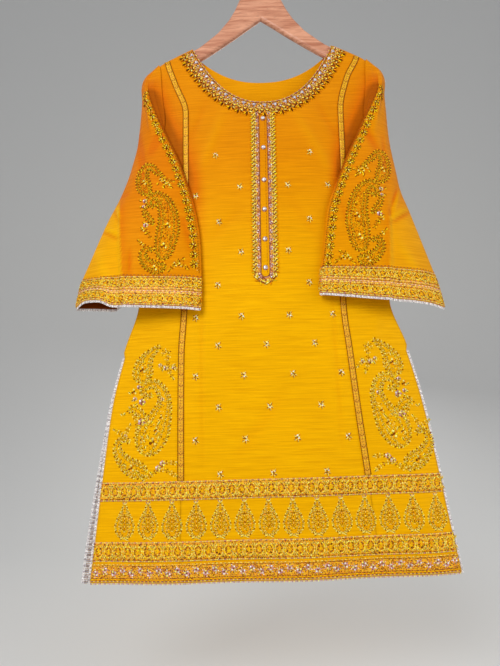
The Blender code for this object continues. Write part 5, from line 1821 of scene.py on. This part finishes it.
def stone_material():
    made, tree, shader = new_material("placket_stone")
    at = node(tree, "ShaderNodeTexCoord")
    foil = noise(tree, at.outputs["Object"], 1.0, 260.0)
    stops = [(0.40, colour(176, 160, 168)), (0.62, colour(250, 250, 252))]
    feed(tree, shader.inputs, [
        ("Base Color", colour_at(tree, foil, stops)),
        ("Metallic", 0.25),
        ("Roughness", 0.12),
        ("Coat Weight", 1.0),
    ])
    return made


STONE = stone_material()


def stones(name, spots, surface, lift, radius, stands_for):
    bm = bmesh.new()
    points, normals = surface(np.array(spots, float), lift)
    for point, normal in zip(points, normals):
        turn = Vector(normal).to_track_quat("Z", "Y").to_matrix().to_4x4()
        size = Matrix.Diagonal((radius, radius, STONE_HEIGHT, 1))
        place = Matrix.Translation(point) @ turn @ size
        bmesh.ops.create_uvsphere(bm, u_segments=8, v_segments=5, radius=1.0, matrix=place)
    mesh = bpy.data.meshes.new(name)
    bm.to_mesh(mesh)
    bm.free()
    add_piece(name, mesh, STONE, stands_for)
    print(name, len(points))


stones("neck_stones", stone_spots, on_neck, ON_STRIP + NECK_STONE_LIFT, STONE_RADIUS, [])
for number, down in enumerate(BUTTONS, 1):
    spot = [(float(placket_middle(down)), down)]
    lift = ON_CLOTH + BUTTON_LIFT + (BORDER if number == 1 else 0)
    stones("button_stone_%d" % number, spot, on_front, lift, BUTTON_RADIUS, ["button_%d" % number])

# %% Thread rings round the buttons
button_threads = Threads(on_front, ON_CLOTH)
for down in BUTTONS:
    ring = np.array([float(placket_middle(down)), down]) + compass(np.linspace(0, 2 * np.pi, 11)) * 4.4 * MM
    chain(button_threads, ring, 1.2 * MM, [MAUVE, PLUM])
seam = np.linspace(placket_top, PLACKET_BOTTOM - PLACKET_COLUMN - 5 * MM, 90)
seam_path = np.column_stack([placket_middle(seam) + 3.2 * MM, seam])
chain(button_threads, seam_path, 0.8 * MM, [BRONZE, (0.70, 0.26, 0.004)])
embroider("placket_embroidery", ZARI, "gold_embroidery", [], button_threads)

# %% [markdown]
# ## Hanger
# The hanger is a board of pale beech with rounded edges. Its grain runs along each arm. The CAD board
# already has the right shape, so only its finish changes: rings stretched along the arm, small dark
# flecks, and a thin satin varnish. The hook is polished steel wire.

# %% Wood and wire
def wood_material():
    made, tree, shader = new_material("hanger_wood")
    at = node(tree, "ShaderNodeTexCoord")
    place = node(tree, "ShaderNodeMapping", [("Vector", at.outputs["Object"]), ("Scale", (14, 60, 120))])
    links = [("Vector", place.outputs[0]), ("Scale", 1.0), ("Detail", 5.0), ("Distortion", 1.2)]
    rings = node(tree, "ShaderNodeTexNoise", links).outputs["Fac"]
    shades = colour_at(tree, rings, [(0.34, colour(174, 104, 72)), (0.64, colour(222, 158, 124))])
    fleck = noise(tree, at.outputs["Object"], 2.0, stretch=(90, 300, 700))
    feed(tree, shader.inputs, [
        ("Base Color", brightened(tree, shades, between(tree, fleck, 1.0, 0.78, 0.60, 0.70))),
        ("Normal", raised(tree, rings, 0.0003, 0.4)),
        ("Roughness", 0.45),
        ("Coat Weight", 0.15),
    ])
    return made


def wire_material():
    made, tree, shader = new_material("hook_steel")
    at = node(tree, "ShaderNodeTexCoord")
    drawn = noise(tree, at.outputs["Object"], 3.0, stretch=(900, 900, 90))
    feed(tree, shader.inputs, [
        ("Base Color", (0.60, 0.60, 0.61, 1)),
        ("Roughness", between(tree, drawn, 0.18, 0.38)),
        ("Metallic", 1.0),
    ])
    return made


for name, finish in (("hanger", wood_material()), ("hanger_hook", wire_material())):
    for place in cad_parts[name].material_slots:
        place.material = finish
    print(name, len(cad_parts[name].material_slots), "slot")

# %% [markdown]
# ## Camera
# The photograph looks slightly up at the garment from in front of its lower half, with a short lens. The
# camera's place, pitch and roll were fitted to the garment's corners, so both pictures can be laid together.

# %% Camera
CAMERA_AT = Vector((-0.0381, -0.8222, -0.9243))
PITCH = math.radians(11.6)
ROLL = math.radians(1.7)
LONG_SIDE_SENSOR = 36.0
FOCAL_PIXELS, PICTURE_HEIGHT = 505.0, 666.0

ahead = Vector((0, math.cos(PITCH), math.sin(PITCH)))
level = Vector((1, 0, 0))
upright = Vector((0, -math.sin(PITCH), math.cos(PITCH)))
camera_x = level * math.cos(ROLL) - upright * math.sin(ROLL)
camera_y = level * math.sin(ROLL) + upright * math.cos(ROLL)
camera = bpy.data.objects.new("camera", bpy.data.cameras.new("camera"))
camera.data.sensor_fit = "VERTICAL"
camera.data.sensor_height = LONG_SIDE_SENSOR
camera.data.lens = LONG_SIDE_SENSOR * FOCAL_PIXELS / PICTURE_HEIGHT
camera.data.clip_start = 0.02
turn = Matrix((camera_x, camera_y, -ahead)).transposed().to_4x4()
camera.matrix_world = Matrix.Translation(CAMERA_AT) @ turn
bpy.context.scene.collection.objects.link(camera)
bpy.context.scene.camera = camera
print("lens: %.1f mm" % camera.data.lens)

# %% [markdown]
# ## Floor and light
# A pale floor sweeps up into a pale wall, as in a studio. One large soft lamp stands in front and above,
# a weaker one fills the other side, and the world fills the rest.

# %% Floor
FLOOR_Z = -1.32
WALL_Y, WALL_HEIGHT, SWEEP, HALF_FLOOR = 2.8, 6.0, 1.7, 6.0
floor_finish, _, floor_shader = new_material("studio_floor")
floor_shader.inputs["Base Color"].default_value = (0.72, 0.72, 0.70, 1)
floor_shader.inputs["Roughness"].default_value = 0.9
bm = bmesh.new()
middle = Matrix.Translation((0, WALL_Y - HALF_FLOOR, FLOOR_Z))
bmesh.ops.create_grid(bm, x_segments=1, y_segments=1, size=HALF_FLOOR, matrix=middle)
far = [e for e in bm.edges if min(v.co.y for v in e.verts) > WALL_Y - 0.1]
wall = bmesh.ops.extrude_edge_only(bm, edges=far)
raised_edge = [v for v in wall["geom"] if isinstance(v, bmesh.types.BMVert)]
bmesh.ops.translate(bm, verts=raised_edge, vec=(0, 0, WALL_HEIGHT))
bmesh.ops.bevel(bm, geom=far, offset=SWEEP, segments=16, profile=0.5, affect="EDGES", material=-1)
floor_mesh = bpy.data.meshes.new("floor")
bm.to_mesh(floor_mesh)
bm.free()
floor_mesh.materials.append(floor_finish)
floor_mesh.shade_smooth()
floor = bpy.data.objects.new("floor", floor_mesh)
bpy.context.scene.collection.objects.link(floor)

# %% Lamps
def lamp(name, at, towards, size, watts):
    data = bpy.data.lights.new(name, "AREA")
    data.shape = "DISK"
    data.size = size
    data.energy = watts
    made = bpy.data.objects.new(name, data)
    made.location = at
    made.rotation_euler = (Vector(towards) - Vector(at)).to_track_quat("-Z", "Y").to_euler()
    made.visible_camera = False
    bpy.context.scene.collection.objects.link(made)


lamp("key", (-0.9, -1.9, 0.15), (0, 0, -0.7), 1.4, 29)
lamp("fill", (1.7, -1.2, -0.3), (0, 0, -0.7), 1.6, 10.5)
lamp("back", (0.4, 1.8, 0.6), (0, 0, -0.6), 1.6, 18)
world = bpy.data.worlds.new("studio")
world.use_nodes = True
world.node_tree.nodes["Background"].inputs["Color"].default_value = (0.95, 0.96, 1.0, 1)
world.node_tree.nodes["Background"].inputs["Strength"].default_value = 0.42
bpy.context.scene.world = world
bpy.context.scene.view_settings.view_transform = "Standard"

# %% [markdown]
# ## Finish

# %% An empty loop over both sides
for side in (-1, 1):
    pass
